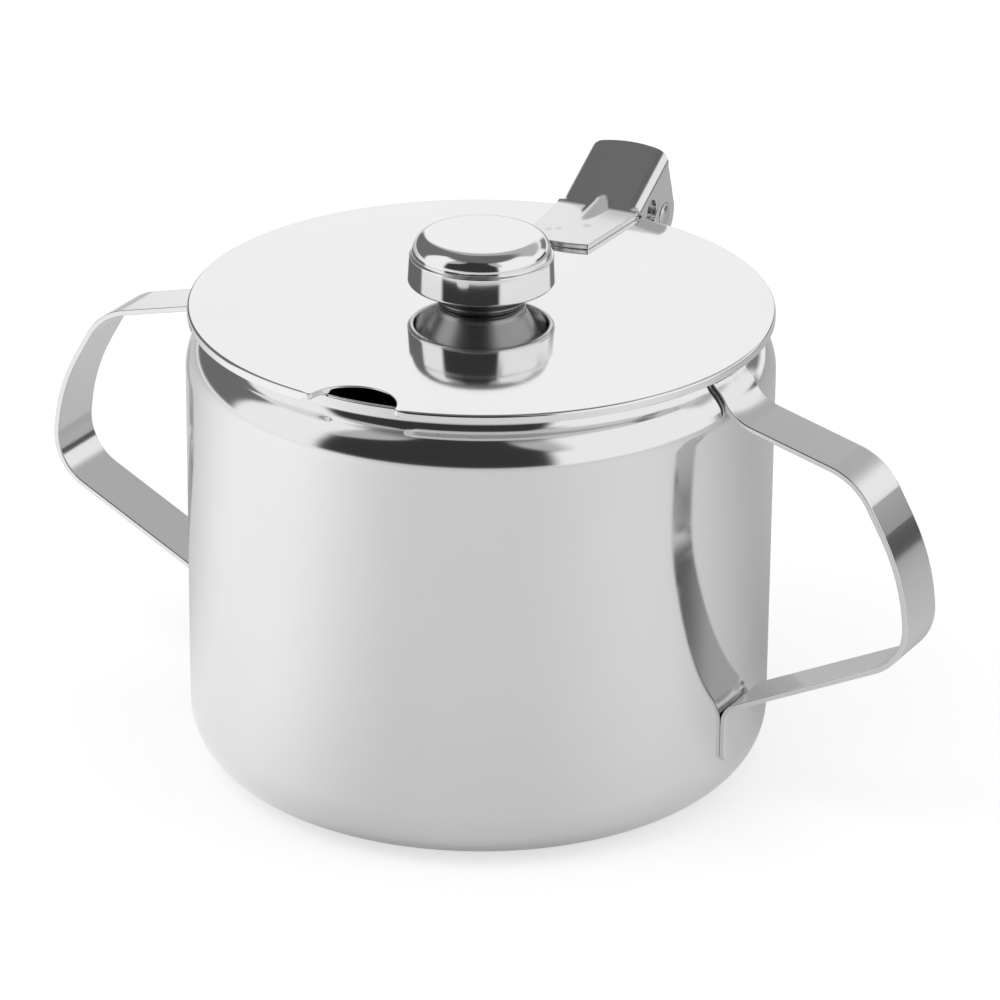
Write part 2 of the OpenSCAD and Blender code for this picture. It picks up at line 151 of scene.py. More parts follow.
def mesh_object(name, points, faces, body, closed=True):
    """A smooth shaded mesh of points in millimetres and a list of face arrays, riding on a CAD body."""
    mesh = bpy.data.meshes.new(name)
    points = np.asarray(points, float)
    if closed and signed_volume(points, faces) < 0:
        faces = [block[:, ::-1] for block in faces]
    listed = [row for block in faces for row in block.tolist()]
    mesh.from_pydata((points * MM).tolist(), [], listed)
    mesh.polygons.foreach_set("use_smooth", np.ones(len(mesh.polygons), bool))
    mesh.update()
    made = bpy.data.objects.new(name, mesh)
    bpy.context.scene.collection.objects.link(made)
    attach(made, body)
    return made


def tube(name, grid, body, caps):
    """A surface from rings of points: rows follow the path, columns run round it, and caps close it with points."""
    rows, columns = grid.shape[:2]
    points = grid.reshape(-1, 3)
    faces = [grid_faces(rows, columns, False, True)]
    if caps:
        first, last = grid[0].mean(axis=0), grid[-1].mean(axis=0)
        faces.append(fan_faces(np.arange(columns), rows * columns, False))
        faces.append(fan_faces((rows - 1) * columns + np.arange(columns), rows * columns + 1, True))
        points = np.concatenate([points, first[None], last[None]])
    return mesh_object(name, points, faces, body)


def lathe(name, outline, body, around=192, place=None):
    """A turned surface: each point (r, h) of the outline goes round the axis to (r cos a, r sin a, h).

    The outline begins and ends on the axis, where one point closes the surface. place is an optional matrix that
    lays the axis along another line.
    """
    outline = np.asarray(outline, float)
    inner = outline[outline[:, 0] > 1e-6]
    turn = unit(np.arange(around) * 360.0 / around)
    ring = inner[:, None, 0, None] * turn[None]
    height = np.broadcast_to(inner[:, None, 1], ring.shape[:2])
    grid = np.concatenate([ring, height[..., None]], axis=-1)
    first = np.array([0.0, 0.0, outline[0, 1]])
    last = np.array([0.0, 0.0, outline[-1, 1]])
    points = np.concatenate([grid.reshape(-1, 3), first[None], last[None]])
    if place is not None:
        points = points @ place[:3, :3].T + place[:3, 3]
    rows = len(inner)
    faces = [
        grid_faces(rows, around, False, True)[:, ::-1],
        fan_faces(np.arange(around), rows * around, True),
        fan_faces((rows - 1) * around + np.arange(around), rows * around + 1, False),
    ]
    return mesh_object(name, points, faces, body)


def section(width, thick, edge):
    """Outline of a strip's cross section, a rectangle with round corners: anticlockwise (across, through) points."""
    w, t = width / 2.0 - edge, thick / 2.0 - edge
    corners = ((w, -t, -90.0), (w, t, 0.0), (-w, t, 90.0), (-w, -t, 180.0))
    runs = [arc((cx, cy), edge, start, start + 90.0, 30.0) for cx, cy, start in corners]
    joined = []
    for k, run in enumerate(runs):
        after = runs[(k + 1) % 4]
        flat = line(run[-1], after[0], 0.7)[1:-1]
        joined.extend([run, flat])
    return np.concatenate(joined)


def ribbon(name, path, width, thick, body, edge=0.14, wrap=None, round_ends=(0.0, 0.0), place=None):
    """A strip of sheet swept along a path of (out, up) points, which run along the middle of its thickness.

    A point of the surface is path(s) + through * normal(s), with across as its place along the third axis. Where
    the strip lies on the bowl, its place out from the axis, d, becomes sqrt(d * d - across * across), so that it
    follows the round wall, and wrap gives the share of that move at each point of the path. The half width near a
    rounded end at distance s is w - r + sqrt(r * r - (r - s) ** 2), and the last ring draws in to round the edge.
    """
    s = run_length(path)
    total = s[-1]
    cut = np.array([0.0, 0.3, 0.6, 0.85, 1.0]) * edge
    extra = [cut, total - cut[::-1], cut + edge, total - cut - edge]
    for radius, flip in ((round_ends[0], False), (round_ends[1], True)):
        if radius > 0:
            near = radius * (1.0 - np.cos(np.radians(np.arange(0.0, 91.0, 9.0)))) + 0.02
            extra.append(total - near if flip else near)
    stops = np.unique(np.round(np.concatenate([s, *extra]), 4))
    stops = stops[np.concatenate([[True], np.diff(stops) > 0.004])]
    stops[-1] = total
    points = np.stack([np.interp(stops, s, path[:, k]) for k in (0, 1)], axis=-1)
    heading = directions(path)
    heading = np.stack([np.interp(stops, s, heading[:, k]) for k in (0, 1)], axis=-1)
    heading = heading / np.linalg.norm(heading, axis=1)[:, None]
    normal = np.stack([heading[:, 1], -heading[:, 0]], axis=-1)
    profile = section(width, thick, edge)
    half = np.full(len(stops), width / 2.0)
    for radius, gone in ((round_ends[0], stops), (round_ends[1], total - stops)):
        if radius > 0:
            left = np.clip(radius - gone, 0.0, radius)
            half = half - radius + np.sqrt(radius * radius - left * left)
    end = np.minimum(stops, total - stops)
    draw = edge - np.sqrt(np.clip(edge * edge - np.clip(edge - end, 0.0, edge) ** 2, 0.0, None))
    across = profile[None, :, 0] * (half / (width / 2.0))[:, None]
    across = across - np.sign(across) * np.minimum(draw[:, None], np.abs(across))
    through = profile[None, :, 1] * (1.0 - 2.0 * draw / thick)[:, None]
    out = points[:, None, 0] + through * normal[:, None, 0]
    up = points[:, None, 1] + through * normal[:, None, 1]
    if wrap is not None:
        share = np.interp(stops, s, wrap)[:, None]
        out = out + share * (np.sqrt(out * out - across * across) - out)
    grid = np.stack([out, across, up], axis=-1)
    grid = grid @ place[:3, :3].T + place[:3, 3]
    return tube(name, grid, body, True)


# Settings: sizes in millimetres and the colours of each metal


def size(text, value, low, high):
    """A number property with its description, its value and its range, all in millimetres or degrees."""
    return FloatProperty(name=text, description=text, default=value, min=low, max=high, unit="NONE")


class BowlSizes(bpy.types.PropertyGroup):
    """Sizes of the bowl"""

    radius: size("Outside radius of the wall", 47.8, 45.0, 52.0)
    height: size("Height of the mouth rim", 77.6, 72.0, 90.0)
    sheet: size("Thickness of the drawn sheet", 0.7, 0.5, 0.9)
    base_round: size("Radius between wall and base", 9.5, 7.0, 14.0)
    neck_step: size("Distance from the wall in to the mouth", 3.6, 3.0, 4.2)
    shoulder_round: size("Radius of the shoulder", 8.0, 7.0, 9.0)
    neck_round: size("Radius of the hollow curve under the mouth", 3.0, 2.0, 4.0)
    neck_land: size("Height of the upright ring at the mouth", 1.3, 1.0, 1.8)


class LidSizes(bpy.types.PropertyGroup):
    """Sizes of the lid"""

    thick: size("Thickness of the disc", 1.0, 0.7, 1.2)
    edge: size("Depth of the turned down edge", 1.5, 1.3, 1.8)
    inset: size("How far the edge stands inside the wall", 0.3, 0.2, 0.6)
    notch: size("Radius of the spoon notch", 7.2, 6.0, 9.0)
    corner: size("Rounding of the notch corners", 0.7, 0.3, 1.0)
    burr: size("Rounding of the cut edges", 0.16, 0.05, 0.3)
    brim_round: size("Rounding of the top edge", 0.45, 0.3, 1.0)


class KnobSizes(bpy.types.PropertyGroup):
    """Sizes of the knob, its neck and its rivet"""

    radius: size("Widest radius of the knob", 11.95, 10.5, 13.5)
    height: size("Height of the knob above the lid", 11.7, 10.5, 14.0)
    gap: size("Gap between the lid and the knob rim", 3.6, 3.0, 4.2)
    top_round: size("Radius of the top edge", 2.8, 1.5, 3.0)
    lean: size("Inward lean of the side", 0.4, 0.2, 0.7)
    sheet: size("Thickness of the knob sheet", 0.6, 0.5, 0.8)
    bead: size("How far the rim stands out from the side", 0.35, 0.2, 0.5)
    ring_step: size("Step of the side under the top edge", 0.5, 0.2, 0.6)
    ring_drop: size("Height of that step", 0.6, 0.4, 0.8)
    lip: size("Radius of the rim's outer edge", 0.6, 0.4, 0.8)
    foot: size("Radius of the neck on the lid", 7.3, 6.0, 8.0)
    foot_round: size("Radius of the neck's foot", 1.2, 0.8, 1.6)
    stud: size("Radius of the rivet shank", 2.0, 1.5, 2.5)
    head: size("Radius of the rivet heads", 3.8, 3.3, 4.5)
    head_rise: size("Height of the rivet heads", 1.0, 0.8, 1.4)


class LeverSizes(bpy.types.PropertyGroup):
    """Sizes of the thumb lever"""

    width: size("Width over the ears", 14.4, 12.8, 17.0)
    thick: size("Thickness of the sheet", 0.9, 0.8, 1.1)
    tab: size("Length of the flat tab", 17.4, 14.0, 20.0)
    tab_front: size("Width of the tab at its front end", 11.6, 10.0, 14.0)
    front_round: size("Radius of the tab's front end", 20.0, 12.0, 40.0)
    plate: size("Length of the thumb plate", 14.8, 12.0, 18.0)
    rise: size("Slope of the thumb plate in degrees", 26.5, 22.0, 32.0)
    bend: size("Inside radius of the bend", 2.5, 1.5, 4.0)
    fold: size("Outside radius of the folds", 2.1, 1.4, 2.6)
    bulge: size("Bulge of the rounded end", 1.3, 0.6, 2.0)
    ear: size("Radius of the ears round the pin", 4.1, 3.6, 4.6)
    rib_wide: size("Width of the rib", 4.0, 3.0, 5.0)
    rib_front: size("Length of the rib in front of the bend", 6.2, 5.0, 8.0)
    rib_back: size("Length of the rib behind the bend", 3.0, 2.4, 4.0)


class HingeSizes(bpy.types.PropertyGroup):
    """Sizes of the hinge pin and its bracket"""

    pin: size("Radius of the pin", 1.5, 1.3, 1.7)
    back: size("Distance of the pin behind the wall", 9.8, 9.0, 12.0)
    drop: size("Distance of the pin below the lid's top", 3.5, 3.0, 4.2)
    head: size("Radius of the pin heads", 2.4, 2.1, 2.8)
    head_rise: size("Height of the pin heads", 0.7, 0.5, 1.0)
    strip: size("Thickness of the bracket strip", 1.0, 0.8, 1.2)
    pad: size("Height of the bracket pad", 12.0, 9.0, 16.0)
    rise: size("Slope of the bracket arm in degrees", 30.0, 26.0, 36.0)
    play: size("Gap round the pin", 0.05, 0.03, 0.08)
    side: size("Gap between the knuckle and each ear", 0.2, 0.15, 0.4)


class HandleSizes(bpy.types.PropertyGroup):
    """Sizes of the strap handles"""

    width: size("Width of the strip", 10.5, 8.5, 12.0)
    thick: size("Thickness of the strip", 0.9, 0.8, 1.1)
    reach: size("Reach from the wall", 32.7, 29.0, 36.0)
    drop: size("Drop of the upper arm below the rim", 7.1, 6.4, 8.0)
    root_round: size("Radius of the bend at the shoulder", 6.0, 4.0, 7.0)
    upper_slope: size("Slope of the upper arm in degrees", 14.5, 12.0, 18.0)
    lower_slope: size("Slope of the lower arm in degrees", 26.5, 22.0, 29.0)
    upper_round: size("Radius of the upper corner", 11.6, 8.0, 12.0)
    grip_round: size("Radius of the grip", 34.0, 24.0, 36.0)
    lower_round: size("Radius of the lower corner", 9.5, 6.0, 10.0)
    weld: size("Length of the lower end on the wall", 8.0, 6.0, 9.0)
    edge_drop: size("Drop of the upper end below the rim", 1.3, 1.0, 2.0)
    turn: size("Turn of the handles against the hinge line in degrees", 4.0, 0.0, 5.0)


def tone(text, value):
    """A colour property with its description, in linear red, green and blue."""
    return FloatVectorProperty(name=text, description=text, default=value, min=0.0, max=1.0, size=3, subtype="COLOR")


class MetalTones(bpy.types.PropertyGroup):
    """Colours of the polished steel of each piece"""

    bowl: tone("Steel of the bowl", (0.8, 0.8, 0.8))
    lid: tone("Steel of the lid", (0.84, 0.84, 0.84))
    knob: tone("Steel of the knob", (0.84, 0.84, 0.84))
    # Painted shade: the neck's steel is darkened to 0.45 to stand for the shade under the knob's cap.
    neck: tone("Steel of the knob's neck", (0.45, 0.45, 0.45))
    strap: tone("Steel of the handles", (0.78, 0.78, 0.78))
    hinge: tone("Steel of the lever and the bracket", (0.78, 0.78, 0.78))
    rivet: tone("Steel of the pin and the rivet", (0.66, 0.66, 0.66))


class StageSizes(bpy.types.PropertyGroup):
    """Camera, light and floor"""

    azimuth: size("Turn of the camera round the bowl in degrees", 24.9, -180.0, 180.0)
    elevation: size("Height of the camera in degrees", 23.595, 0.0, 90.0)
    roll: size("Roll of the camera in degrees", 0.498, -5.0, 5.0)
    distance: size("Distance of the camera", 920.74, 300.0, 3000.0)
    shift_x: size("Place of the aim point to the left of the view line", 3.319, -50.0, 50.0)
    shift_y: size("Place of the aim point below the view line", 3.438, -50.0, 50.0)
    aim: size("Height of the aim point", 40.0, 0.0, 100.0)
    lens: size("Focal length of the camera", 202.0, 50.0, 400.0)


# Shapes


def bowl_curves(s):
    """Named points and angles of the bowl's side line: shoulder and hollow arcs that meet at one tangent."""
    total = s.shoulder_round + s.neck_round
    bend = math.degrees(math.acos((total - s.neck_step) / total))
    neck = s.height - s.neck_land
    shoulder = neck - total * math.sin(math.radians(bend))
    return bend, neck, shoulder, s.radius - s.neck_step


def bowl_outline(s):
    """Side line of the bowl from the axis below, out and up the wall, over the rim and back down inside."""
    bend, neck, shoulder, mouth = bowl_curves(s)
    base = s.radius - s.base_round
    turn_in = (s.radius - s.shoulder_round, shoulder)
    hollow = (mouth + s.neck_round, neck)
    lip = s.sheet / 2.0
    rim = s.height - lip
    return chain(
        line((0.0, 0.0), (base, 0.0), 6.0),
        arc((base, s.base_round), s.base_round, -90.0, 0.0, 3.0),
        line((s.radius, s.base_round), (s.radius, shoulder), 3.0),
        arc(turn_in, s.shoulder_round, 0.0, bend, 2.0),
        arc(hollow, s.neck_round, 180.0 + bend, 180.0, 3.0),
        line((mouth, neck), (mouth, rim), 0.5),
        arc((mouth - lip, rim), lip, 0.0, 180.0, 15.0),
        line((mouth - s.sheet, rim), (mouth - s.sheet, neck), 0.5),
        arc(hollow, s.neck_round + s.sheet, 180.0, 180.0 + bend, 4.0),
        arc(turn_in, s.shoulder_round - s.sheet, bend, 0.0, 4.0),
        line((s.radius - s.sheet, shoulder), (s.radius - s.sheet, s.base_round), 6.0),
        arc((base, s.base_round), s.base_round - s.sheet, 0.0, -90.0, 6.0),
        line((base, s.sheet), (0.0, s.sheet), 8.0),
    )


def lid_edge_line(s, radius):
    """Edge of the lid seen from above with the notch: points and the unit directions from them into the sheet.

    The notch is a circle on the edge at -y. A small round of radius c joins both circles: its centre lies radius - c
    from the lid's axis and notch + c from the notch's centre.
    """
    c, n = s.corner, s.notch
    a, b = radius - c, n + c
    y = (a * a - b * b + radius * radius) / (-2.0 * radius)
    x = math.sqrt(a * a - y * y)
    to_lid = math.degrees(math.atan2(y, x))
    to_notch = math.degrees(math.atan2(-radius - y, -x)) % 360.0
    from_notch = (to_notch + 180.0) % 360.0
    stretches = (
        ((0.0, 0.0), radius, to_lid, 180.0 - to_lid, 361, -1.0),
        ((-x, y), c, 180.0 - to_lid, 540.0 - to_notch, 15, -1.0),
        ((0.0, -radius), n, 180.0 - from_notch, from_notch, 61, 1.0),
        ((x, y), c, to_notch, 360.0 + to_lid, 15, -1.0),
    )
    points, inward = [], []
    for centre, round_by, start, end, count, side in stretches:
        way = unit(np.linspace(start, end, count))[:-1]
        points.append(np.array(centre) + round_by * way)
        inward.append(side * way)
    return np.concatenate(points), np.concatenate(inward)


def lid_grid(s, bowl):
    """Rings of the lid from the axis below, out to the edge, up and back to the axis above.

    Each ring is edge + depth * inward at height z. The depths and heights run round the turned down edge on the lid's
    circle and round the plain cut edge in the notch, and the share between both changes over the notch's corners.
    """
    low, high = bowl.height, bowl.height + s.thick
    foot = high - s.edge
    radius = bowl.radius - s.inset
    edge, inward = lid_edge_line(s, radius)
    b, t, brim = s.burr, s.thick, s.brim_round
    deep, small, outer = t + 0.6, 0.12, 0.2
    rolled = chain(
        line((deep, low), (t + small, low), 1.0),
        arc((t + small, low - small), small, 90.0, 180.0, 30.0)[1:],
        line((t, low - small - 0.02), (t, foot + small), 1.0),
        arc((t - small, foot + small), small, 0.0, -90.0, 30.0),
        line((t - small, foot), (outer, foot), 1.0),
        arc((outer, foot + outer), outer, -90.0, -180.0, 22.5),
        line((0.0, foot + outer), (0.0, high - brim), 0.4),
        arc((brim, high - brim), brim, 180.0, 90.0, 7.5),
        line((brim, high), (deep, high), 0.5),
    )
    share = run_length(rolled) / run_length(rolled)[-1]
    cut = chain(
        line((0.8 * s.corner, low), (b, low), 0.3),
        arc((b, low + b), b, -90.0, -180.0, 22.5),
        line((0.0, low + b), (0.0, high - b), 0.3),
        arc((b, high - b), b, 180.0, 90.0, 22.5),
        line((b, high), (0.8 * s.corner, high), 0.3),
    )
    order = np.interp(share, np.linspace(0.0, 1.0, len(cut)), np.arange(len(cut)))
    cut = np.stack([np.interp(order, np.arange(len(cut)), cut[:, k]) for k in (0, 1)], axis=-1)
    reach = np.hypot(edge[:, 0], edge[:, 1] + radius) - s.notch
    weight = ease(np.clip(1.0 - (reach - s.corner) / (2.0 * s.corner), 0.0, 1.0))
    rings = (1.0 - weight)[None, :, None] * rolled[:, None] + weight[None, :, None] * cut[:, None]
    flat = edge[None] + rings[..., :1] * inward[None]
    turned = np.concatenate([flat, rings[..., 1:]], axis=-1)
    outer = turned[-1]
    angle = np.arctan2(outer[:, 1], outer[:, 0])
    circle = np.stack([np.cos(angle), np.sin(angle)], axis=-1) * 36.0
    inside = [(1.0 - share) * outer[:, :2] + share * circle for share in (0.25, 0.5, 0.75, 1.0)]
    inside.extend([circle * 0.66, circle * 0.33])
    top = [np.concatenate([p, np.full((len(p), 1), high)], axis=-1) for p in inside]
    bottom = [np.concatenate([p, np.full((len(p), 1), low)], axis=-1) for p in inside[::-1]]
    return np.concatenate([np.stack(bottom), turned, np.stack(top)])


def cap_outline(s, lid_top, collar):
    """Side line of the knob cap from the axis on top, down the ringed side, round the rim and back inside."""
    top = lid_top + s.height
    rim = s.radius - s.bead
    side = rim - s.lean
    low = lid_top + s.gap
    corner = (side - s.top_round, top - s.top_round)
    seam = top - s.top_round - 0.15
    ring_turn = 2.0 * math.degrees(math.atan2(s.ring_step, s.ring_drop))
    ring = 0.5 * s.ring_drop / math.sin(math.radians(ring_turn))
    return chain(
        line((0.0, top), (side - s.top_round, top), 1.5),
        arc(corner, s.top_round, 90.0, 0.0, 3.0),
        line((side, top - s.top_round), (side, seam), 0.7),
        arc((side + ring, seam), ring, 180.0, 180.0 + ring_turn, 8.0),
        arc((side + s.ring_step - ring, seam - s.ring_drop), ring, ring_turn, 3.5, 8.0),
        arc((s.radius - s.lip, low + s.lip), s.lip, 3.5, -120.0, 8.0),
        line((rim - s.sheet, low + 0.12), (rim - s.sheet, low + 0.6), 0.3),
        line((rim - s.sheet, low + 0.6), (side - s.sheet, collar), 0.8),
        line((side - s.sheet, collar), (side - s.sheet, top - s.top_round), 1.0),
        arc(corner, s.top_round - s.sheet, 0.0, 90.0, 6.0),
        line((side - s.top_round, top - s.sheet), (0.0, top - s.sheet), 2.0),
    )


def neck_outline(s, lid_top, collar, collar_rise):
    """Side line of the knob's neck: foot, flare and collar outside, then the same line drawn in by the sheet."""
    bore = s.radius - s.bead - s.lean - s.sheet
    flare = (bore - 1.2, lid_top + 0.4 * s.height)
    foot = (s.foot - s.foot_round, lid_top + s.foot_round)
    high = collar + collar_rise
    t = s.sheet
    return chain(
        line((0.0, lid_top), (s.foot - s.foot_round, lid_top), 1.0),
        arc(foot, s.foot_round, -90.0, 0.0, 9.0),
        line((s.foot, lid_top + s.foot_round), flare, 0.8),
        line(flare, (bore, collar), 0.5),
        line((bore, collar), (bore, high), 0.5),
        line((bore, high), (bore - t, high), 0.2),
        line((bore - t, high), (bore - t, collar), 0.5),
        line((bore - t, collar), (flare[0] - t, flare[1]), 0.5),
        line((flare[0] - t, flare[1]), (s.foot - t, lid_top + s.foot_round), 0.8),
        arc(foot, s.foot_round - t, 0.0, -90.0, 15.0),
        line((s.foot - s.foot_round, lid_top + t), (0.0, lid_top + t), 1.0),
    )


def dome_line(radius, rise, base, up):
    """Quarter line of a low round head from its edge on the face to its top, with the face at height base."""
    ball = (radius * radius + rise * rise) / (2.0 * rise)
    open_angle = math.degrees(math.asin(radius / ball))
    half = arc((0.0, rise - ball), ball, 90.0 - open_angle, 90.0, 5.0)
    half[:, 1] = base + up * half[:, 1]
    return half


def rivet_outline(s, low, high):
    """Side line of the rivet: lower head, shank through lid and neck, upper head."""
    return chain(
        dome_line(s.head, s.head_rise, low, -1.0)[::-1],
        line((s.head, low), (s.stud, low), 0.5),
        line((s.stud, low), (s.stud, high), 0.5),
        line((s.stud, high), (s.head, high), 0.5),
        dome_line(s.head, s.head_rise, high, 1.0),
    )


def pin_outline(s, half):
    """Side line of the hinge pin along its axis: a round head, the shank and a round head."""
    return chain(
        dome_line(s.head, s.head_rise, -half, -1.0)[::-1],
        line((s.head, -half), (s.pin, -half), 0.3),
        line((s.pin, -half), (s.pin, half), 1.0),
        line((s.pin, half), (s.head, half), 0.3),
        dome_line(s.head, s.head_rise, half, 1.0),
    )


def turned_strip(start, heading, moves, thick):
    """Middle line of a strip from moves of ('go', length) and ('turn', degrees, inner radius).

    Positive degrees turn to the left. The next point is start + length * heading, or runs round a centre that lies
    radius + thick / 2 to the side.
    """
    at, way, runs = np.asarray(start, float), float(heading), []
    for move in moves:
        if move[0] == "go":
            after = at + move[1] * unit(way)
            runs.append(line(at, after, 1.5))
            at = after
        else:
            side = 90.0 if move[1] > 0 else -90.0
            radius = move[2] + thick / 2.0
            centre = at + radius * unit(way + side)
            first = way - side
            runs.append(arc(centre, radius, first, first + move[1], 4.0))
            at = centre + radius * unit(first + move[1])
            way += move[1]
    return chain(*runs)


def handle_path(s, bowl):
    """Middle line of the strap handle and its share of lying on the bowl, from the mouth to the lower end.

    The strip lies on the neck and the shoulder, leaves the shoulder in a hollow bend that touches it, runs down the
    arm, round the corner and the grip, back along the lower arm and down the wall.
    """
    bend, neck, shoulder, mouth = bowl_curves(bowl)
    half = s.thick / 2.0
    down = -s.upper_slope
    along, up = unit(down), unit(down + 90.0)
    root = np.array([bowl.radius - 0.5, bowl.height - s.drop])
    ball = np.array([bowl.radius - bowl.shoulder_round, shoulder])
    lift = float((root - ball) @ up) + s.root_round
    arm = bowl.shoulder_round + s.thick + s.root_round
    centre = ball + lift * up + math.sqrt(arm * arm - lift * lift) * along
    touch = math.degrees(math.atan2(centre[1] - ball[1], centre[0] - ball[0]))
    heel_x = bowl.radius + s.reach
    corner_x = heel_x - 10.1
    corner = np.array([corner_x, root[1] - (corner_x - root[0]) * math.tan(math.radians(s.upper_slope))])
    grip = np.array([heel_x - 1.5, corner[1] - 0.193 * bowl.height])
    heel = np.array([heel_x, grip[1] - 0.188 * bowl.height])
    weld_x = bowl.radius + s.thick
    weld = np.array([weld_x, heel[1] - (heel_x - weld_x) * math.tan(math.radians(s.lower_slope))])
    marks = [centre - s.root_round * up, corner, grip, heel, weld, weld + np.array([0.0, -10.0])]
    ways = [math.degrees(math.atan2(*(b - a)[::-1])) for a, b in zip(marks[:-1], marks[1:])]
    legs = [float(np.linalg.norm(b - a)) for a, b in zip(marks[:-1], marks[1:])]
    turns = [b - a for a, b in zip(ways[:-1], ways[1:])]
    turns[2:] = [(turn + 180.0) % 360.0 - 180.0 for turn in turns[2:]]
    halves = [math.tan(math.radians(abs(turn) / 2.0)) for turn in turns]
    upper, lower = s.upper_round * halves[0], s.lower_round * halves[2]
    room = min(legs[1] - upper, legs[2] - lower) - 0.5
    grip_round = min(s.grip_round, room / halves[1])
    middle = grip_round * halves[1]
    last_round = 2.5
    last = last_round * halves[3]
    moves = [
        ("go", legs[0] - upper),
        ("turn", turns[0], s.upper_round - s.thick),
        ("go", legs[1] - upper - middle),
        ("turn", turns[1], grip_round - s.thick),
        ("go", legs[2] - middle - lower),
        ("turn", turns[2], s.lower_round - s.thick),
        ("go", legs[3] - lower - last),
        ("turn", turns[3], last_round),
        ("go", s.weld),
    ]
    arm_run = turned_strip(marks[0] - half * up, ways[0], moves, s.thick)
    on_neck = np.array([mouth + half, max(bowl.height - s.edge_drop, neck + 0.05)])
    laid = chain(
        line(on_neck, (mouth + half, neck), 0.5),
        arc((mouth + bowl.neck_round, neck), bowl.neck_round - half, 180.0, 180.0 + bend, 4.0),
        arc(ball, bowl.shoulder_round + half, bend, touch, 2.0),
    )
    hollow_bend = arc(centre, s.root_round + half, touch + 180.0, down + 270.0, 4.0)
    path = chain(laid, hollow_bend, arm_run)
    away = run_length(path)
    leave = away[len(laid) - 1]
    share = np.clip(1.0 - (away - leave) / (0.8 * s.root_round), 0.0, 1.0)
    arrive = away[-1] - s.weld - 2.0
    share = np.maximum(share, np.clip((away - arrive) / 3.0, 0.0, 1.0))
    return path, ease(share)


def bracket_path(s, bowl, lid_top):
    """Middle line of the hinge bracket in (out, up) and its share of lying on the wall: pad, bend, arm, knuckle."""
    t = s.strip
    pin = np.array([bowl.radius + s.back, lid_top - s.drop])
    knuckle = s.pin + s.play + t
    out, up = unit(s.rise), unit(s.rise + 90.0)
    low_end = pin - knuckle * up
    face = bowl.radius + t
    bend_at = low_end - (low_end[0] - face) / out[0] * out
    turn, inner_round = 90.0 - s.rise, 1.5
    cut = inner_round * math.tan(math.radians(turn) / 2.0)
    arm_foot = low_end[1] - (low_end[0] - bowl.radius) * math.tan(math.radians(s.rise))
    low = arm_foot - s.pad
    start = np.array([bowl.radius + t / 2.0, low])
    arm = float(np.linalg.norm(low_end - bend_at)) - cut
    moves = [("go", bend_at[1] - cut - low), ("turn", -turn, inner_round), ("go", arm)]
    path = turned_strip(start, 90.0, moves, t)
    roll = arc(pin, knuckle - t / 2.0, s.rise - 90.0, s.rise + 203.0, 6.0)
    joined = chain(path, roll)
    away = run_length(joined)
    share = np.clip((bend_at[1] - cut + 1.0 - joined[:, 1]) / 2.0, 0.0, 1.0)
    share = np.where(away > bend_at[1] - low + 3.0, 0.0, share)
    return joined, ease(share)


def mark_rim(made, skip):
    """Marks the outer edges of an open sheet for the Bevel modifier, apart from those whose middle skip() names."""
    mesh = made.data
    pairs = np.empty(len(mesh.edges) * 2, np.int32)
    mesh.edges.foreach_get("vertices", pairs)
    used = np.empty(len(mesh.loops), np.int32)
    mesh.loops.foreach_get("edge_index", used)
    at = np.empty(len(mesh.vertices) * 3, np.float32)
    mesh.vertices.foreach_get("co", at)
    middle = at.reshape(-1, 3)[pairs.reshape(-1, 2)].mean(axis=1) / MM
    rim = (np.bincount(used, minlength=len(mesh.edges)) == 1) & ~skip(middle)
    weights = mesh.attributes.new("bevel_weight_edge", "FLOAT", "EDGE")
    weights.data.foreach_set("value", rim.astype(np.float32))


def steps_between(marks, counts):
    """Evenly spread numbers between each pair of marks, with the given count of steps in each stretch."""
    runs = [np.linspace(a, b, n + 1)[:-1] for a, b, n in zip(marks[:-1], marks[1:], counts)]
    return np.concatenate([*runs, [marks[-1]]])


def ear_edge(d, s, fold_start, foot, pin, arch, rear, tail):
    """Lower edge of an ear as (y, z) for places d along the plate: front, foot, arch, round end and rear edge.

    Each stretch of d maps evenly on one line or arc. The places lag behind where the edge climbs and lead where it
    goes down, most of all in front of the round end, so that straight lines from the fold to this edge never cross.
    """
    side = np.array([ARCH_ROUND, 0.0])
    arch_from, arch_to, lobe_start, lobe_end = EAR_MARKS[3:7]
    first = 146.0
    lobe_from = pin + s.ear * unit(first)
    lobe_to = pin + s.ear * unit(rear)
    front = fold_start + 0.8 * (foot - fold_start)
    arch_foot = [arch[0] - ARCH_ROUND, foot[1]]
    last = tail + 0.12 * (lobe_to - tail)
    stops = np.array([front, foot, arch_foot, arch - side, arch + side, lobe_from, lobe_to, last])
    straight = np.stack([np.interp(d, EAR_MARKS, stops[:, k]) for k in (0, 1)], axis=-1)
    arch_turn = np.interp(d, [arch_from, ARCH_MIDDLE, arch_to], [180.0, 90.0, 0.0])
    lobe_turn = np.interp(d, [lobe_start, LOBE_TURN, lobe_end], [first, 180.0, 360.0 + rear])
    on_arch = ((d > arch_from) & (d < arch_to))[:, None]
    on_lobe = ((d > lobe_start) & (d < lobe_end))[:, None]
    edge = np.where(on_arch, arch + ARCH_ROUND * unit(arch_turn), straight)
    return np.where(on_lobe, pin + s.ear * unit(lobe_turn), edge)


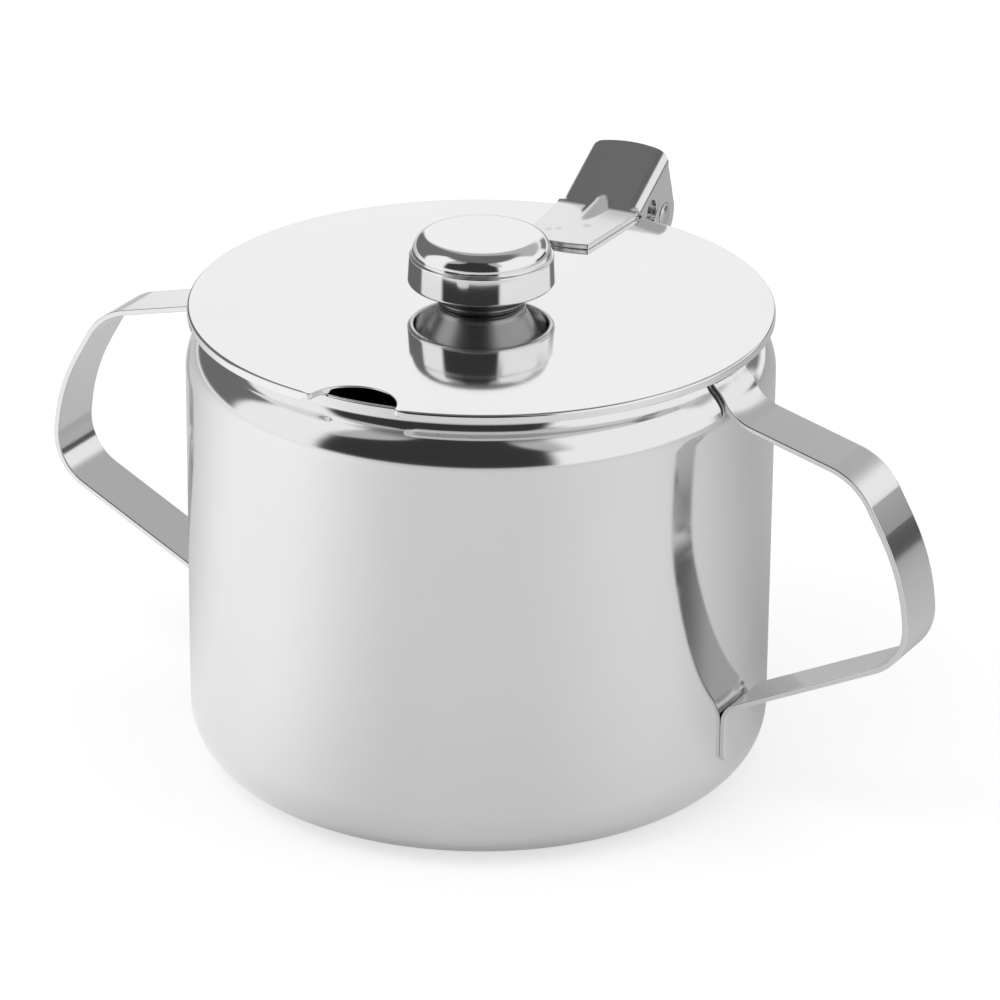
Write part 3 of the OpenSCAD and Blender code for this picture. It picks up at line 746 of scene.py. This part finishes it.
def lever_surface(s, hinge, bowl, lid, lid_top):
    """Top face of the folded lever as a grid of points and a mask of the faces that are there.

    Rows run from the tab's front over the bend to the tip, columns from the left ear's edge over the plate to the
    right ear's edge. A fold is the quarter circle (sin a, cos a - 1) of radius fold, which grows out of the flat sheet
    over the first millimetres behind the bend. The rib lifts the face by the soft positive part of
    line(y) - sheet(y) - (R - sqrt(R * R - x * x)).
    """
    lid_r = bowl.radius - lid.inset
    knee = np.array([lid_r - 2.0, lid_top + s.thick])
    out, up = unit(s.rise), unit(s.rise + 90.0)
    cut = s.bend * math.tan(math.radians(s.rise / 2.0))
    tab_y, back_y = knee[0] - s.tab, knee[0] - cut
    flat, half = s.width / 2.0 - s.fold, s.width / 2.0
    tab_rows = steps_between([0.0, 0.02, 0.6, 1.0], [1, 14, 34])
    bend_rows = np.linspace(0.0, s.rise, 9)[1:]
    marks = sorted([cut, *EAR_MARKS, ARCH_MIDDLE, LOBE_TURN])
    plate_rows = steps_between(marks, [10, 1, 4, 1, 14, 14, 3, 8, 36, 1])[1:]
    ear_cols = np.array([1.0, 0.65, 0.3])
    fold_cols = np.concatenate([[1.0], np.linspace(0.86, 0.0, 12)])
    flat_cols = np.unique(np.concatenate([np.linspace(-1.0, 1.0, 35), [-0.985, 0.985]]))
    folded = np.concatenate([np.ones(len(ear_cols)), fold_cols[:-1]])
    hung = np.concatenate([ear_cols, np.zeros(len(fold_cols) - 1)])
    ones, zeros = np.ones(len(folded)), np.zeros(len(flat_cols))
    side = np.concatenate([-ones, zeros, ones])
    fold = np.concatenate([folded, zeros, folded[::-1]])
    ear = np.concatenate([hung, zeros, hung[::-1]])
    flat_x = np.concatenate([-ones, flat_cols, ones]) * flat
    wide = flat_x + side * fold * (half - flat)
    tip_r = (half * half + s.bulge * s.bulge) / (2.0 * s.bulge)

    # Tab and bend, flat across
    w_front = s.tab_front / s.width
    front = tab_y + s.front_round - np.sqrt(s.front_round**2 - (wide * w_front) ** 2)
    y_tab = front[None] + tab_rows[:, None] * (back_y - front)[None]
    w_tab = w_front + (1.0 - w_front) * (y_tab - tab_y) / (back_y - tab_y)
    tab_part = np.stack([wide[None] * w_tab, y_tab, np.full_like(y_tab, knee[1])], axis=-1)
    swing = np.radians(bend_rows)
    y_bend, z_bend = back_y + s.bend * np.sin(swing), knee[1] + s.bend * (1.0 - np.cos(swing))
    bend_part = np.stack(np.broadcast_arrays(wide[None], y_bend[:, None], z_bend[:, None]), axis=-1)

    # Plate with its folds and ears
    grow = ease(np.clip((plate_rows - cut) / (EAR_FROM - cut), 0.0, 1.0))[:, None]
    tip = s.plate + s.bulge - tip_r
    bulged = s.bulge * np.clip(1.0 - (wide / half) ** 2, 0.0, 1.0)
    end = EAR_TO + (s.plate - EAR_TO) * (1.0 - fold) ** 0.5 + bulged
    folded_end = np.minimum(end, tip + math.sqrt(tip_r**2 - flat**2))
    flat_end = tip + np.sqrt(tip_r**2 - np.clip(wide, -half, half) ** 2)
    end = np.where(fold > 0, folded_end, flat_end)
    share = ((plate_rows - cut) / (EAR_TO - cut))[:, None]
    along = cut + share * (end[None] - cut)
    a = np.radians(90.0 * fold)[None]
    arc_x = side[None] * (flat + s.fold * np.sin(a))
    arc_h = -s.fold * (1.0 - np.cos(a))
    x_plate = np.where(fold[None] > 0, (1.0 - grow) * wide[None] + grow * arc_x, wide[None])
    h_plate = np.where(fold[None] > 0, grow * arc_h, 0.0)
    y_plate = knee[0] + along * out[0] + h_plate * up[0]
    z_plate = knee[1] + along * out[1] + h_plate * up[1]
    pin = np.array([bowl.radius + hinge.back, lid_top - hinge.drop])
    foot_z = lid_top - 1.2
    arch = np.array([pin[0] - s.ear - ARCH_ROUND + 0.7, foot_z + 0.3])
    first = knee + EAR_FROM * out - s.fold * up
    tail = knee + EAR_TO * out - s.fold * up
    rest = knee + 14.2 * out - 0.95 * up - pin
    rear = math.degrees(math.atan2(rest[1], rest[0]) - math.acos(s.ear / float(np.linalg.norm(rest))))
    edge = ear_edge(plate_rows, s, first, np.array([first[0], foot_z]), pin, arch, rear, tail)
    fy = knee[0] + along * out[0] - s.fold * up[0]
    fz = knee[1] + along * out[1] - s.fold * up[1]
    on_ear = (ear > 0)[None]
    y_plate = np.where(on_ear, (1.0 - ear)[None] * fy + ear[None] * edge[:, :1], y_plate)
    z_plate = np.where(on_ear, (1.0 - ear)[None] * fz + ear[None] * edge[:, 1:], z_plate)
    x_plate = np.where(on_ear, side[None] * half, x_plate)
    plate_part = np.stack([x_plate, y_plate, z_plate], axis=-1)

    grid = np.concatenate([tab_part, bend_part, plate_part])
    lift = s.rib_back * math.sin(math.radians(s.rise))
    run = s.rib_front + s.rib_back * math.cos(math.radians(s.rise))
    peak = lift * s.rib_front / run
    bar = (s.rib_wide**2 / 4.0 + peak**2) / (2.0 * peak)
    y, x = grid[..., 1], grid[..., 0]
    line_z = lift * (y - knee[0] + s.rib_front) / run
    sheet_z = grid[..., 2] - knee[1]
    over = line_z - sheet_z - (bar - np.sqrt(np.clip(bar * bar - np.clip(x, -bar, bar) ** 2, 0.0, None)))
    raised = 0.5 * (over + np.sqrt(over * over + 0.02))
    on_rib = (np.abs(x) < 2.6) & (ear == 0)[None] & (fold == 0)[None]
    grid[..., 2] += np.where(on_rib, np.clip(raised - 0.006, 0.0, None), 0.0)

    rows, columns = grid.shape[:2]
    behind = np.zeros((rows - 1, columns - 1), bool)
    first_ear = len(tab_rows) + len(bend_rows) + int(np.searchsorted(plate_rows, EAR_FROM - 1e-6))
    flat_face = (ear[:-1] == 0) & (ear[1:] == 0)
    behind[:, flat_face] = True
    behind[first_ear:, :] = True
    return grid, behind


# Materials


def operator_of(kind, swapped=False):
    """An operator of Socket that makes a Math node of one kind, with both values swapped if asked."""
    return lambda self, other: self.math(kind, *((other, self) if swapped else (self, other)))


class Socket:
    """A shader socket that can be added, taken off, multiplied and divided like a number."""

    __add__, __radd__ = operator_of("ADD"), operator_of("ADD", True)
    __sub__, __rsub__ = operator_of("SUBTRACT"), operator_of("SUBTRACT", True)
    __mul__, __rmul__ = operator_of("MULTIPLY"), operator_of("MULTIPLY", True)
    __truediv__ = operator_of("DIVIDE")

    def __init__(self, graph, socket):
        self.graph, self.socket = graph, socket

    def math(self, kind, *values):
        """Output of a Math node of one kind with the values in its inputs."""
        node = self.graph.tree.nodes.new("ShaderNodeMath")
        node.operation = kind
        for k, value in enumerate(values):
            self.graph.set(node.inputs[k], value)
        return Socket(self.graph, node.outputs[0])

    def root(self):
        return self.math("SQRT", self)

    def clamp(self, low, high):
        return self.math("MINIMUM", self.math("MAXIMUM", self, low), high)

    def smooth(self, low, high):
        """Smooth step from 0 at low to 1 at high."""
        t = ((self - low) / (high - low)).clamp(0.0, 1.0)
        return ease(t)


class Graph:
    """The nodes of one material or world."""

    def __init__(self, owner):
        owner.use_nodes = True
        self.tree = owner.node_tree
        self.tree.nodes.clear()

    def set(self, socket, value):
        if isinstance(value, Socket):
            self.tree.links.new(value.socket, socket)
        elif isinstance(value, (tuple, list)) and socket.type == "RGBA" and len(value) == 3:
            socket.default_value = (*value, 1.0)
        else:
            socket.default_value = value

    def node(self, kind, settings=None, output=0, **inputs):
        """A node of any kind: settings are its properties, inputs its sockets by name with _ for a space."""
        made = self.tree.nodes.new(kind)
        for key, value in (settings or {}).items():
            setattr(made, key, value)
        for key, value in inputs.items():
            self.set(made.inputs[key.replace("_", " ")], value)
        return Socket(self, made.outputs[output])

    def place(self):
        """Object coordinates in millimetres as three sockets."""
        point = self.node("ShaderNodeTexCoord", output="Object")
        wide = self.node("ShaderNodeVectorMath", {"operation": "SCALE"}, Vector=point, Scale=1.0 / MM)
        parts = self.tree.nodes.new("ShaderNodeSeparateXYZ")
        self.set(parts.inputs[0], wide)
        return wide, [Socket(self, out) for out in parts.outputs]

    def vector(self, x, y, z):
        return self.node("ShaderNodeCombineXYZ", X=x, Y=y, Z=z)

    def noise(self, at, scale, detail=3.0, rough=0.5):
        solid = {"noise_dimensions": "3D"}
        return self.node("ShaderNodeTexNoise", solid, Vector=at, Scale=scale, Detail=detail, Roughness=rough)

    def turn_from(self, x, y, azimuth):
        """Turn of a point round z in degrees: 0 on the camera's side, 90 on its right."""
        a = math.radians(azimuth)
        right, front = x * math.cos(a) + y * math.sin(a), x * math.sin(a) - y * math.cos(a)
        return x.math("ARCTAN2", right, front) * (180.0 / math.pi)

    def glow(self, kind, level):
        """A grey light of one level from an Emission or a Background node."""
        return self.node(kind, Color=self.vector(level, level, level), Strength=1.0)

    def rays(self):
        """Shares of rays that come from the camera, by gloss and through glass."""
        path = self.tree.nodes.new("ShaderNodeLightPath")
        return [Socket(self, path.outputs[f"Is {kind} Ray"]) for kind in ("Camera", "Glossy", "Transmission")]

    def finish(self, surface, kind="ShaderNodeOutputMaterial"):
        """Lays a shader on the output."""
        self.set(self.tree.nodes.new(kind).inputs["Surface"], surface)


def steel(name, colour, rough, marks, wave=0.02, welds=()):
    """Polished steel: fine marks along one direction, faint clouds in the gloss, slow waves in the sheet, weld dents.

    marks is 'round' for a turned piece, with marks running round the z axis, or 'x', 'y' or 'z' for marks along that
    axis. welds are points in millimetres with a radius, where a shallow, duller dent shows a spot weld.
    """
    made = bpy.data.materials.new(name)
    g = Graph(made)
    at, (x, y, z) = g.place()
    across, along = 6.0, 0.25
    if marks == "round":
        stretched = g.vector((x * x + y * y).root() * across, 0.0, z * across)
    else:
        stretched = g.vector(*(value * (along if marks == axis else across) for axis, value in zip("xyz", (x, y, z))))
    fine = g.noise(stretched, 1.0, 2.0, 0.6)
    cloud = g.noise(at, 0.06, 3.0, 0.5)
    slow = g.noise(at, 0.025, 1.0, 0.4)
    gloss = rough + (fine - 0.5) * 0.05 + (cloud - 0.5) * 0.05
    height = slow * wave + fine * 0.0012
    shade = 1.0 + (cloud - 0.5) * 0.05
    for wx, wy, wz, radius in welds:
        dx, dy, dz = x - wx, y - wy, z - wz
        gone = (dx * dx + dy * dy + dz * dz).root()
        dent = 1.0 - gone.smooth(0.1 * radius, 1.5 * radius)
        height = height - dent * 0.03
        gloss = gloss + dent * 0.1
        shade = shade - dent * 0.08
    bump = g.node("ShaderNodeBump", Strength=1.0, Distance=MM, Height=height)
    tint = g.node("ShaderNodeVectorMath", {"operation": "SCALE"}, Vector=colour, Scale=shade)
    gloss = gloss.clamp(0.03, 0.5)
    g.finish(g.node("ShaderNodeBsdfPrincipled", Base_Color=tint, Metallic=1.0, Roughness=gloss, Normal=bump))
    return made


def dress(made, material):
    """Gives a piece its material."""
    made.data.materials.clear()
    made.data.materials.append(material)
    return made


# Operators: one for each piece or group, and one for the stage


def settings():
    """All settings of the scene."""
    return bpy.context.scene.sugar_bowl


def heights(s):
    """Top of the lid, and the height where the knob's neck meets the cap."""
    top = s.bowl.height + s.lid.thick
    return top, top + 0.55 * s.knob.height


class BowlOperator(bpy.types.Operator):
    """Builds the drawn bowl"""

    bl_idname = "sugar_bowl.bowl"
    bl_label = "Bowl"

    def execute(self, context):
        s = settings()
        made = lathe("bowl_shell", bowl_outline(s.bowl), "bowl", 288)
        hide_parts("bowl")
        dress(made, steel("bowl_metal", s.tones.bowl, 0.1, "round", 0.02))
        return {"FINISHED"}


class HandlesOperator(bpy.types.Operator):
    """Builds both strap handles"""

    bl_idname = "sugar_bowl.handles"
    bl_label = "Handles"

    def execute(self, context):
        s = settings()
        path, wrap = handle_path(s.handle, s.bowl)
        wide, thick = s.handle.width, s.handle.thick
        spots = ((44.9, 0.5, 74.0), (48.7, -1.8, 22.0), (48.7, 2.2, 20.5))
        for name, turn in (("right", 0.0), ("left", 180.0)):
            place = np.array(Matrix.Rotation(math.radians(turn - s.handle.turn), 4, "Z"))
            made = ribbon(f"handle_strap_{name}", path, wide, thick, "bowl", 0.16, wrap, (0.0, 2.0), place)
            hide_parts(f"handle_{name}")
            welds = [(*(place[:3, :3] @ np.array(p)), 1.4) for p in spots]
            dress(made, steel(f"strap_metal_{name}", s.tones.strap, 0.12, "z", 0.035, welds))
        return {"FINISHED"}


class HingeOperator(bpy.types.Operator):
    """Builds the hinge bracket and the hinge pin"""

    bl_idname = "sugar_bowl.hinge"
    bl_label = "Hinge"

    def execute(self, context):
        s = settings()
        top, _ = heights(s)
        path, wrap = bracket_path(s.hinge, s.bowl, top)
        wide = s.lever.width - 2.0 * s.lever.thick - 2.0 * s.hinge.side
        back = np.array([[0.0, -1.0, 0.0, 0.0], [1.0, 0.0, 0.0, 0.0], [0.0, 0.0, 1.0, 0.0], [0.0, 0.0, 0.0, 1.0]])
        made = ribbon("hinge_knuckle_strip", path, wide, s.hinge.strip, "bowl", 0.14, wrap, (2.0, 0.0), back)
        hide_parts("hinge_bracket")
        welds = [(-3.0, 48.8, 61.0, 1.4), (3.0, 48.8, 61.0, 1.4)]
        dress(made, steel("bracket_metal", s.tones.hinge, 0.16, "x", 0.03, welds))
        pin_y, pin_z = s.bowl.radius + s.hinge.back, top - s.hinge.drop
        place = np.array([[0.0, 0.0, 1.0, 0.0], [1.0, 0.0, 0.0, pin_y], [0.0, 1.0, 0.0, pin_z], [0.0, 0.0, 0.0, 1.0]])
        pin = lathe("hinge_pin_rivet", pin_outline(s.hinge, s.lever.width / 2.0), "lid", 64, place)
        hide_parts("hinge_pin")
        dress(pin, steel("pin_metal", s.tones.rivet, 0.16, "x", 0.03))
        return {"FINISHED"}


class LidOperator(bpy.types.Operator):
    """Builds the lid with its spoon notch"""

    bl_idname = "sugar_bowl.lid"
    bl_label = "Lid"

    def execute(self, context):
        s = settings()
        made = tube("lid_disc", lid_grid(s.lid, s.bowl), "lid", True)
        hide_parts("lid")
        dress(made, steel("lid_metal", s.tones.lid, 0.06, "round", 0.012))
        return {"FINISHED"}


class LeverOperator(bpy.types.Operator):
    """Builds the folded thumb lever"""

    bl_idname = "sugar_bowl.lever"
    bl_label = "Thumb lever"

    def execute(self, context):
        s = settings()
        top, _ = heights(s)
        grid, kept = lever_surface(s.lever, s.hinge, s.bowl, s.lid, top)
        rows, columns = grid.shape[:2]
        faces = grid_faces(rows, columns, False, False)[kept.ravel()]
        used, back = np.unique(faces, return_inverse=True)
        faces = back.reshape(faces.shape)[:, ::-1]
        made = mesh_object("thumb_lever_sheet", grid.reshape(-1, 3)[used], [faces], "lid", False)
        thick = made.modifiers.new("sheet", "SOLIDIFY")
        thick.thickness, thick.offset, thick.use_even_offset = s.lever.thick * MM, -1.0, False
        bend_y = s.bowl.radius - s.lid.inset - 2.0
        mark_rim(made, lambda at: (np.abs(at[:, 0]) > 6.0) & (at[:, 1] > bend_y - 0.5) & (at[:, 1] < bend_y + 2.6))
        edge = made.modifiers.new("edges", "BEVEL")
        edge.width, edge.segments, edge.limit_method = 0.18 * MM, 3, "WEIGHT"
        edge.harden_normals, edge.use_clamp_overlap = True, False
        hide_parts("thumb_lever")
        z = top + s.lever.thick
        welds = [(-3.0, 32.6, z, 0.7), (-1.6, 33.6, z, 0.6), (2.0, 37.0, z, 0.8)]
        dress(made, steel("lever_metal", s.tones.hinge, 0.17, "y", 0.05, welds))
        return {"FINISHED"}


class KnobOperator(bpy.types.Operator):
    """Builds the knob cap, its neck and its rivet"""

    bl_idname = "sugar_bowl.knob"
    bl_label = "Knob"

    def execute(self, context):
        s = settings()
        top, collar = heights(s)
        cap = lathe("knob_cap_shell", cap_outline(s.knob, top, collar), "lid", 160)
        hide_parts("knob_cap")
        dress(cap, steel("knob_metal", s.tones.knob, 0.09, "round", 0.01))
        neck = lathe("knob_neck_shell", neck_outline(s.knob, top, collar, 1.6), "lid", 128)
        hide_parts("knob_neck")
        # Painted shade: the neck's darker steel stands for the shade under the cap.
        dress(neck, steel("shaded_neck_metal", s.tones.neck, 0.3, "round", 0.01))
        rivet = lathe("knob_rivet_stud", rivet_outline(s.knob, s.bowl.height, top + s.knob.sheet), "lid", 64)
        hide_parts("knob_rivet")
        dress(rivet, steel("rivet_metal", s.tones.rivet, 0.2, "round", 0.02))
        return {"FINISHED"}


def canopy(azimuth):
    """Glowing dome over the stage that only shows in reflections: painted reflections of bright soft boxes on the
    sides, a dark front and a dark top.

    A point of the dome is DOME times (cos e cos t, cos e sin t, sin e). Its tone depends on the height e in degrees
    and on the turn from the camera's side, which is 0 in front and 90 on the right.
    """
    side, up = unit(np.linspace(0.5, 90.0, 31)).T
    flat = side[:, None, None] * unit(np.arange(72) * 5.0)[None]
    up = np.broadcast_to(up[:, None, None], (*flat.shape[:2], 1))
    grid = DOME * np.concatenate([flat, up], axis=-1)
    faces = grid_faces(*grid.shape[:2], False, True)
    mesh = bpy.data.meshes.new("tent_reflection_dome")
    mesh.from_pydata((grid.reshape(-1, 3) * MM).tolist(), [], faces.tolist())
    made = bpy.data.objects.new("tent_reflection_dome", mesh)
    bpy.context.scene.collection.objects.link(made)
    material = bpy.data.materials.new("tent_reflection_glow")
    g = Graph(material)
    _, (x, y, z) = g.place()
    turn = g.turn_from(x, y, azimuth)
    height = z.math("ARCSINE", z / DOME) * (180.0 / math.pi)

    def window(value, low, high, soft):
        return value.smooth(low - soft, low + soft) * (1.0 - value.smooth(high - soft, high + soft))

    def lay(under, over, share):
        return under + share * (over - under)

    # Painted reflections: the glow is full low down, grey in the middle heights and dark at the top.
    tone = lay(1.0, 0.5, height.smooth(26.0, 34.0))
    tone = lay(tone, 0.15, height.smooth(50.0, 66.0))
    # Painted reflections: dark fields stand for grey cards, fields of full glow for soft boxes on the left and the
    # right.
    fields = (
        (0.17, (-167.0, -106.0, 3.0), (3.0, 90.0, 2.0)),
        (0.22, (134.0, 160.0, 4.0), (8.0, 25.0, 3.0)),
        (1.0, (-104.0, -65.0, 3.0), (6.0, 58.0, 4.0)),
        (1.0, (36.0, 104.0, 5.0), (11.0, 58.0, 4.0)),
        (0.1, (100.0, 132.0, 4.0), (-10.0, 9.0, 1.5)),
    )
    for level, turns, high in fields:
        tone = lay(tone, level, window(turn, *turns) * window(height, *high))
    # Painted reflection of the dark front round the camera, and a grey band low down behind.
    narrow = 1.0 + height.smooth(30.0, 60.0) * 0.8
    tone = lay(tone, 0.04, window(turn * narrow, -63.0, 28.0, 3.0) * window(height, 1.5, 64.0, 3.0))
    tone = lay(tone, 0.45, (1.0 - window(turn, -168.0, 168.0, 2.0)) * window(height, -10.0, 3.0, 1.5))
    g.finish(g.glow("ShaderNodeEmission", tone))
    mesh.materials.append(material)
    made.visible_camera = made.visible_diffuse = made.visible_shadow = False


def floor_sheet(s):
    """Pale paper under the bowl that glows white to the camera and less in reflections, by the turn round z, which
    paints light and shade into its reflection.
    """
    mesh = bpy.data.meshes.new("floor")
    reach = 6000.0 * MM
    corners = [(-reach, -reach, 0.0), (reach, -reach, 0.0), (reach, reach, 0.0), (-reach, reach, 0.0)]
    mesh.from_pydata(corners, [], [(0, 1, 2, 3)])
    floor = bpy.data.objects.new("floor", mesh)
    bpy.context.scene.collection.objects.link(floor)
    material = bpy.data.materials.new("floor_paper_and_painted_reflection")
    g = Graph(material)
    camera, glossy, through = g.rays()
    _, (x, y, _) = g.place()
    turn = g.turn_from(x, y, s.azimuth)
    # Painted reflection: the floor's glow as the metal sees it is lighter on the left under the key lamp, dimmer in
    # front and darkest behind on the right, where the bowl's shadow falls.
    painted_floor_reflection = 0.3 + 0.7 * turn.smooth(-145.0, -95.0) * (1.0 - 0.85 * turn.smooth(-75.0, -20.0))
    painted_floor_reflection = painted_floor_reflection + 0.2 * turn.smooth(10.0, 55.0) - 0.55 * turn.smooth(60.0, 120.0)
    seen = camera * 1.1 + glossy * painted_floor_reflection + through
    paper = g.node("ShaderNodeBsdfDiffuse", Color=(0.5, 0.5, 0.5))
    both = g.tree.nodes.new("ShaderNodeAddShader")
    g.set(both.inputs[0], paper)
    g.set(both.inputs[1], g.glow("ShaderNodeEmission", seen.clamp(0.0, 1.1) * 0.53))
    g.finish(Socket(g, both.outputs[0]))
    mesh.materials.append(material)


def tent_world(scene):
    """Even light from all sides, a little brighter where the camera or a reflection looks into it."""
    scene.world = bpy.data.worlds.new("tent")
    g = Graph(scene.world)
    camera, glossy, through = g.rays()
    level = 0.8 + (camera + glossy + through).clamp(0.0, 1.0) * 0.2
    g.finish(g.glow("ShaderNodeBackground", level), "ShaderNodeOutputWorld")


def lamp(s, name, turn, elevation, wide, high, power):
    """A soft lamp 1100 mm from the aim point. Turn 0 lies on the camera's side of the bowl, 90 on its right."""
    light = bpy.data.lights.new(name, "AREA")
    light.shape, light.size, light.size_y, light.energy = "RECTANGLE", wide * MM, high * MM, power
    made = bpy.data.objects.new(name, light)
    a, e, distance = math.radians(s.azimuth + turn), math.radians(elevation), 1100.0
    flat, up = distance * math.cos(e), distance * math.sin(e)
    away = Vector((flat * math.sin(a), -flat * math.cos(a), up)) * MM
    made.location = Vector((0.0, 0.0, s.aim * MM)) + away
    made.visible_glossy = False
    made.rotation_mode = "QUATERNION"
    made.rotation_quaternion = away.to_track_quat("Z", "Y")
    bpy.context.scene.collection.objects.link(made)


def place_camera(s):
    """Camera on its circle round the aim point, rolled and shifted as in the photograph."""
    a, e, r = math.radians(s.azimuth), math.radians(s.elevation), math.radians(s.roll)
    view = Vector((-math.sin(a) * math.cos(e), math.cos(a) * math.cos(e), -math.sin(e)))
    level_right = Vector((math.cos(a), math.sin(a), 0.0))
    level_up = level_right.cross(view)
    right = level_right * math.cos(r) + level_up * math.sin(r)
    up = level_up * math.cos(r) - level_right * math.sin(r)
    spot = Vector((0.0, 0.0, s.aim)) + right * s.shift_x + up * s.shift_y - view * s.distance
    camera = bpy.data.objects.new("camera", bpy.data.cameras.new("camera"))
    camera.data.sensor_width, camera.data.lens = 36.0, s.lens
    camera.data.clip_start, camera.data.clip_end = 0.05, 50.0
    turned = Matrix((right, up, -view)).transposed().to_4x4()
    camera.matrix_world = Matrix.Translation(spot * MM) @ turned
    bpy.context.scene.collection.objects.link(camera)
    bpy.context.scene.camera = camera


class StageOperator(bpy.types.Operator):
    """Builds the floor, the light tent, two lamps, the canopy and the camera"""

    bl_idname = "sugar_bowl.stage"
    bl_label = "Stage"

    def execute(self, context):
        s = settings().stage
        context.scene.view_settings.view_transform = "Standard"
        floor_sheet(s)
        tent_world(context.scene)
        lamp(s, "key", -60.0, 55.0, 700.0, 500.0, 2.5)
        lamp(s, "fill", 70.0, 50.0, 500.0, 400.0, 0.8)
        canopy(s.azimuth)
        place_camera(s)
        return {"FINISHED"}


class Settings(bpy.types.PropertyGroup):
    """All settings of the sugar bowl"""

    bowl: PointerProperty(name="Bowl", description="Sizes of the bowl", type=BowlSizes)
    lid: PointerProperty(name="Lid", description="Sizes of the lid", type=LidSizes)
    knob: PointerProperty(name="Knob", description="Sizes of the knob", type=KnobSizes)
    lever: PointerProperty(name="Thumb lever", description="Sizes of the thumb lever", type=LeverSizes)
    hinge: PointerProperty(name="Hinge", description="Sizes of the hinge", type=HingeSizes)
    handle: PointerProperty(name="Handles", description="Sizes of the handles", type=HandleSizes)
    tones: PointerProperty(name="Metals", description="Colours of the metals", type=MetalTones)
    stage: PointerProperty(name="Stage", description="Camera and stage", type=StageSizes)


class SugarBowlPanel(bpy.types.Panel):
    """Settings and buttons of the sugar bowl"""

    bl_idname = "VIEW3D_PT_sugar_bowl"
    bl_label = "Sugar bowl"
    bl_space_type = "VIEW_3D"
    bl_region_type = "UI"
    bl_category = "Sugar bowl"

    def draw(self, context):
        for group in ("bowl", "lid", "knob", "lever", "hinge", "handle", "tones", "stage"):
            box = self.layout.box()
            values = getattr(context.scene.sugar_bowl, group)
            for key in values.bl_rna.properties.keys():
                if key not in ("rna_type", "name"):
                    box.prop(values, key)
        for operator in OPERATORS:
            self.layout.operator(operator.bl_idname)


SIZES = (BowlSizes, LidSizes, KnobSizes, LeverSizes, HingeSizes, HandleSizes, MetalTones, StageSizes, Settings)
OPERATORS = (BowlOperator, HandlesOperator, HingeOperator, LidOperator, LeverOperator, KnobOperator, StageOperator)


def register():
    """Registers every class and hangs the settings on the scene."""
    for made in (*SIZES, *OPERATORS, SugarBowlPanel):
        bpy.utils.register_class(made)
    bpy.types.Scene.sugar_bowl = PointerProperty(type=Settings)


def unregister():
    """Takes the settings and every class away again."""
    del bpy.types.Scene.sugar_bowl
    for made in reversed((*SIZES, *OPERATORS, SugarBowlPanel)):
        bpy.utils.unregister_class(made)


def main():
    """Builds all pieces and the stage."""
    register()
    bpy.ops.sugar_bowl.bowl()
    bpy.ops.sugar_bowl.handles()
    bpy.ops.sugar_bowl.hinge()
    bpy.ops.sugar_bowl.lid()
    bpy.ops.sugar_bowl.lever()
    bpy.ops.sugar_bowl.knob()
    bpy.ops.sugar_bowl.stage()


if __name__ == "__main__":
    main()
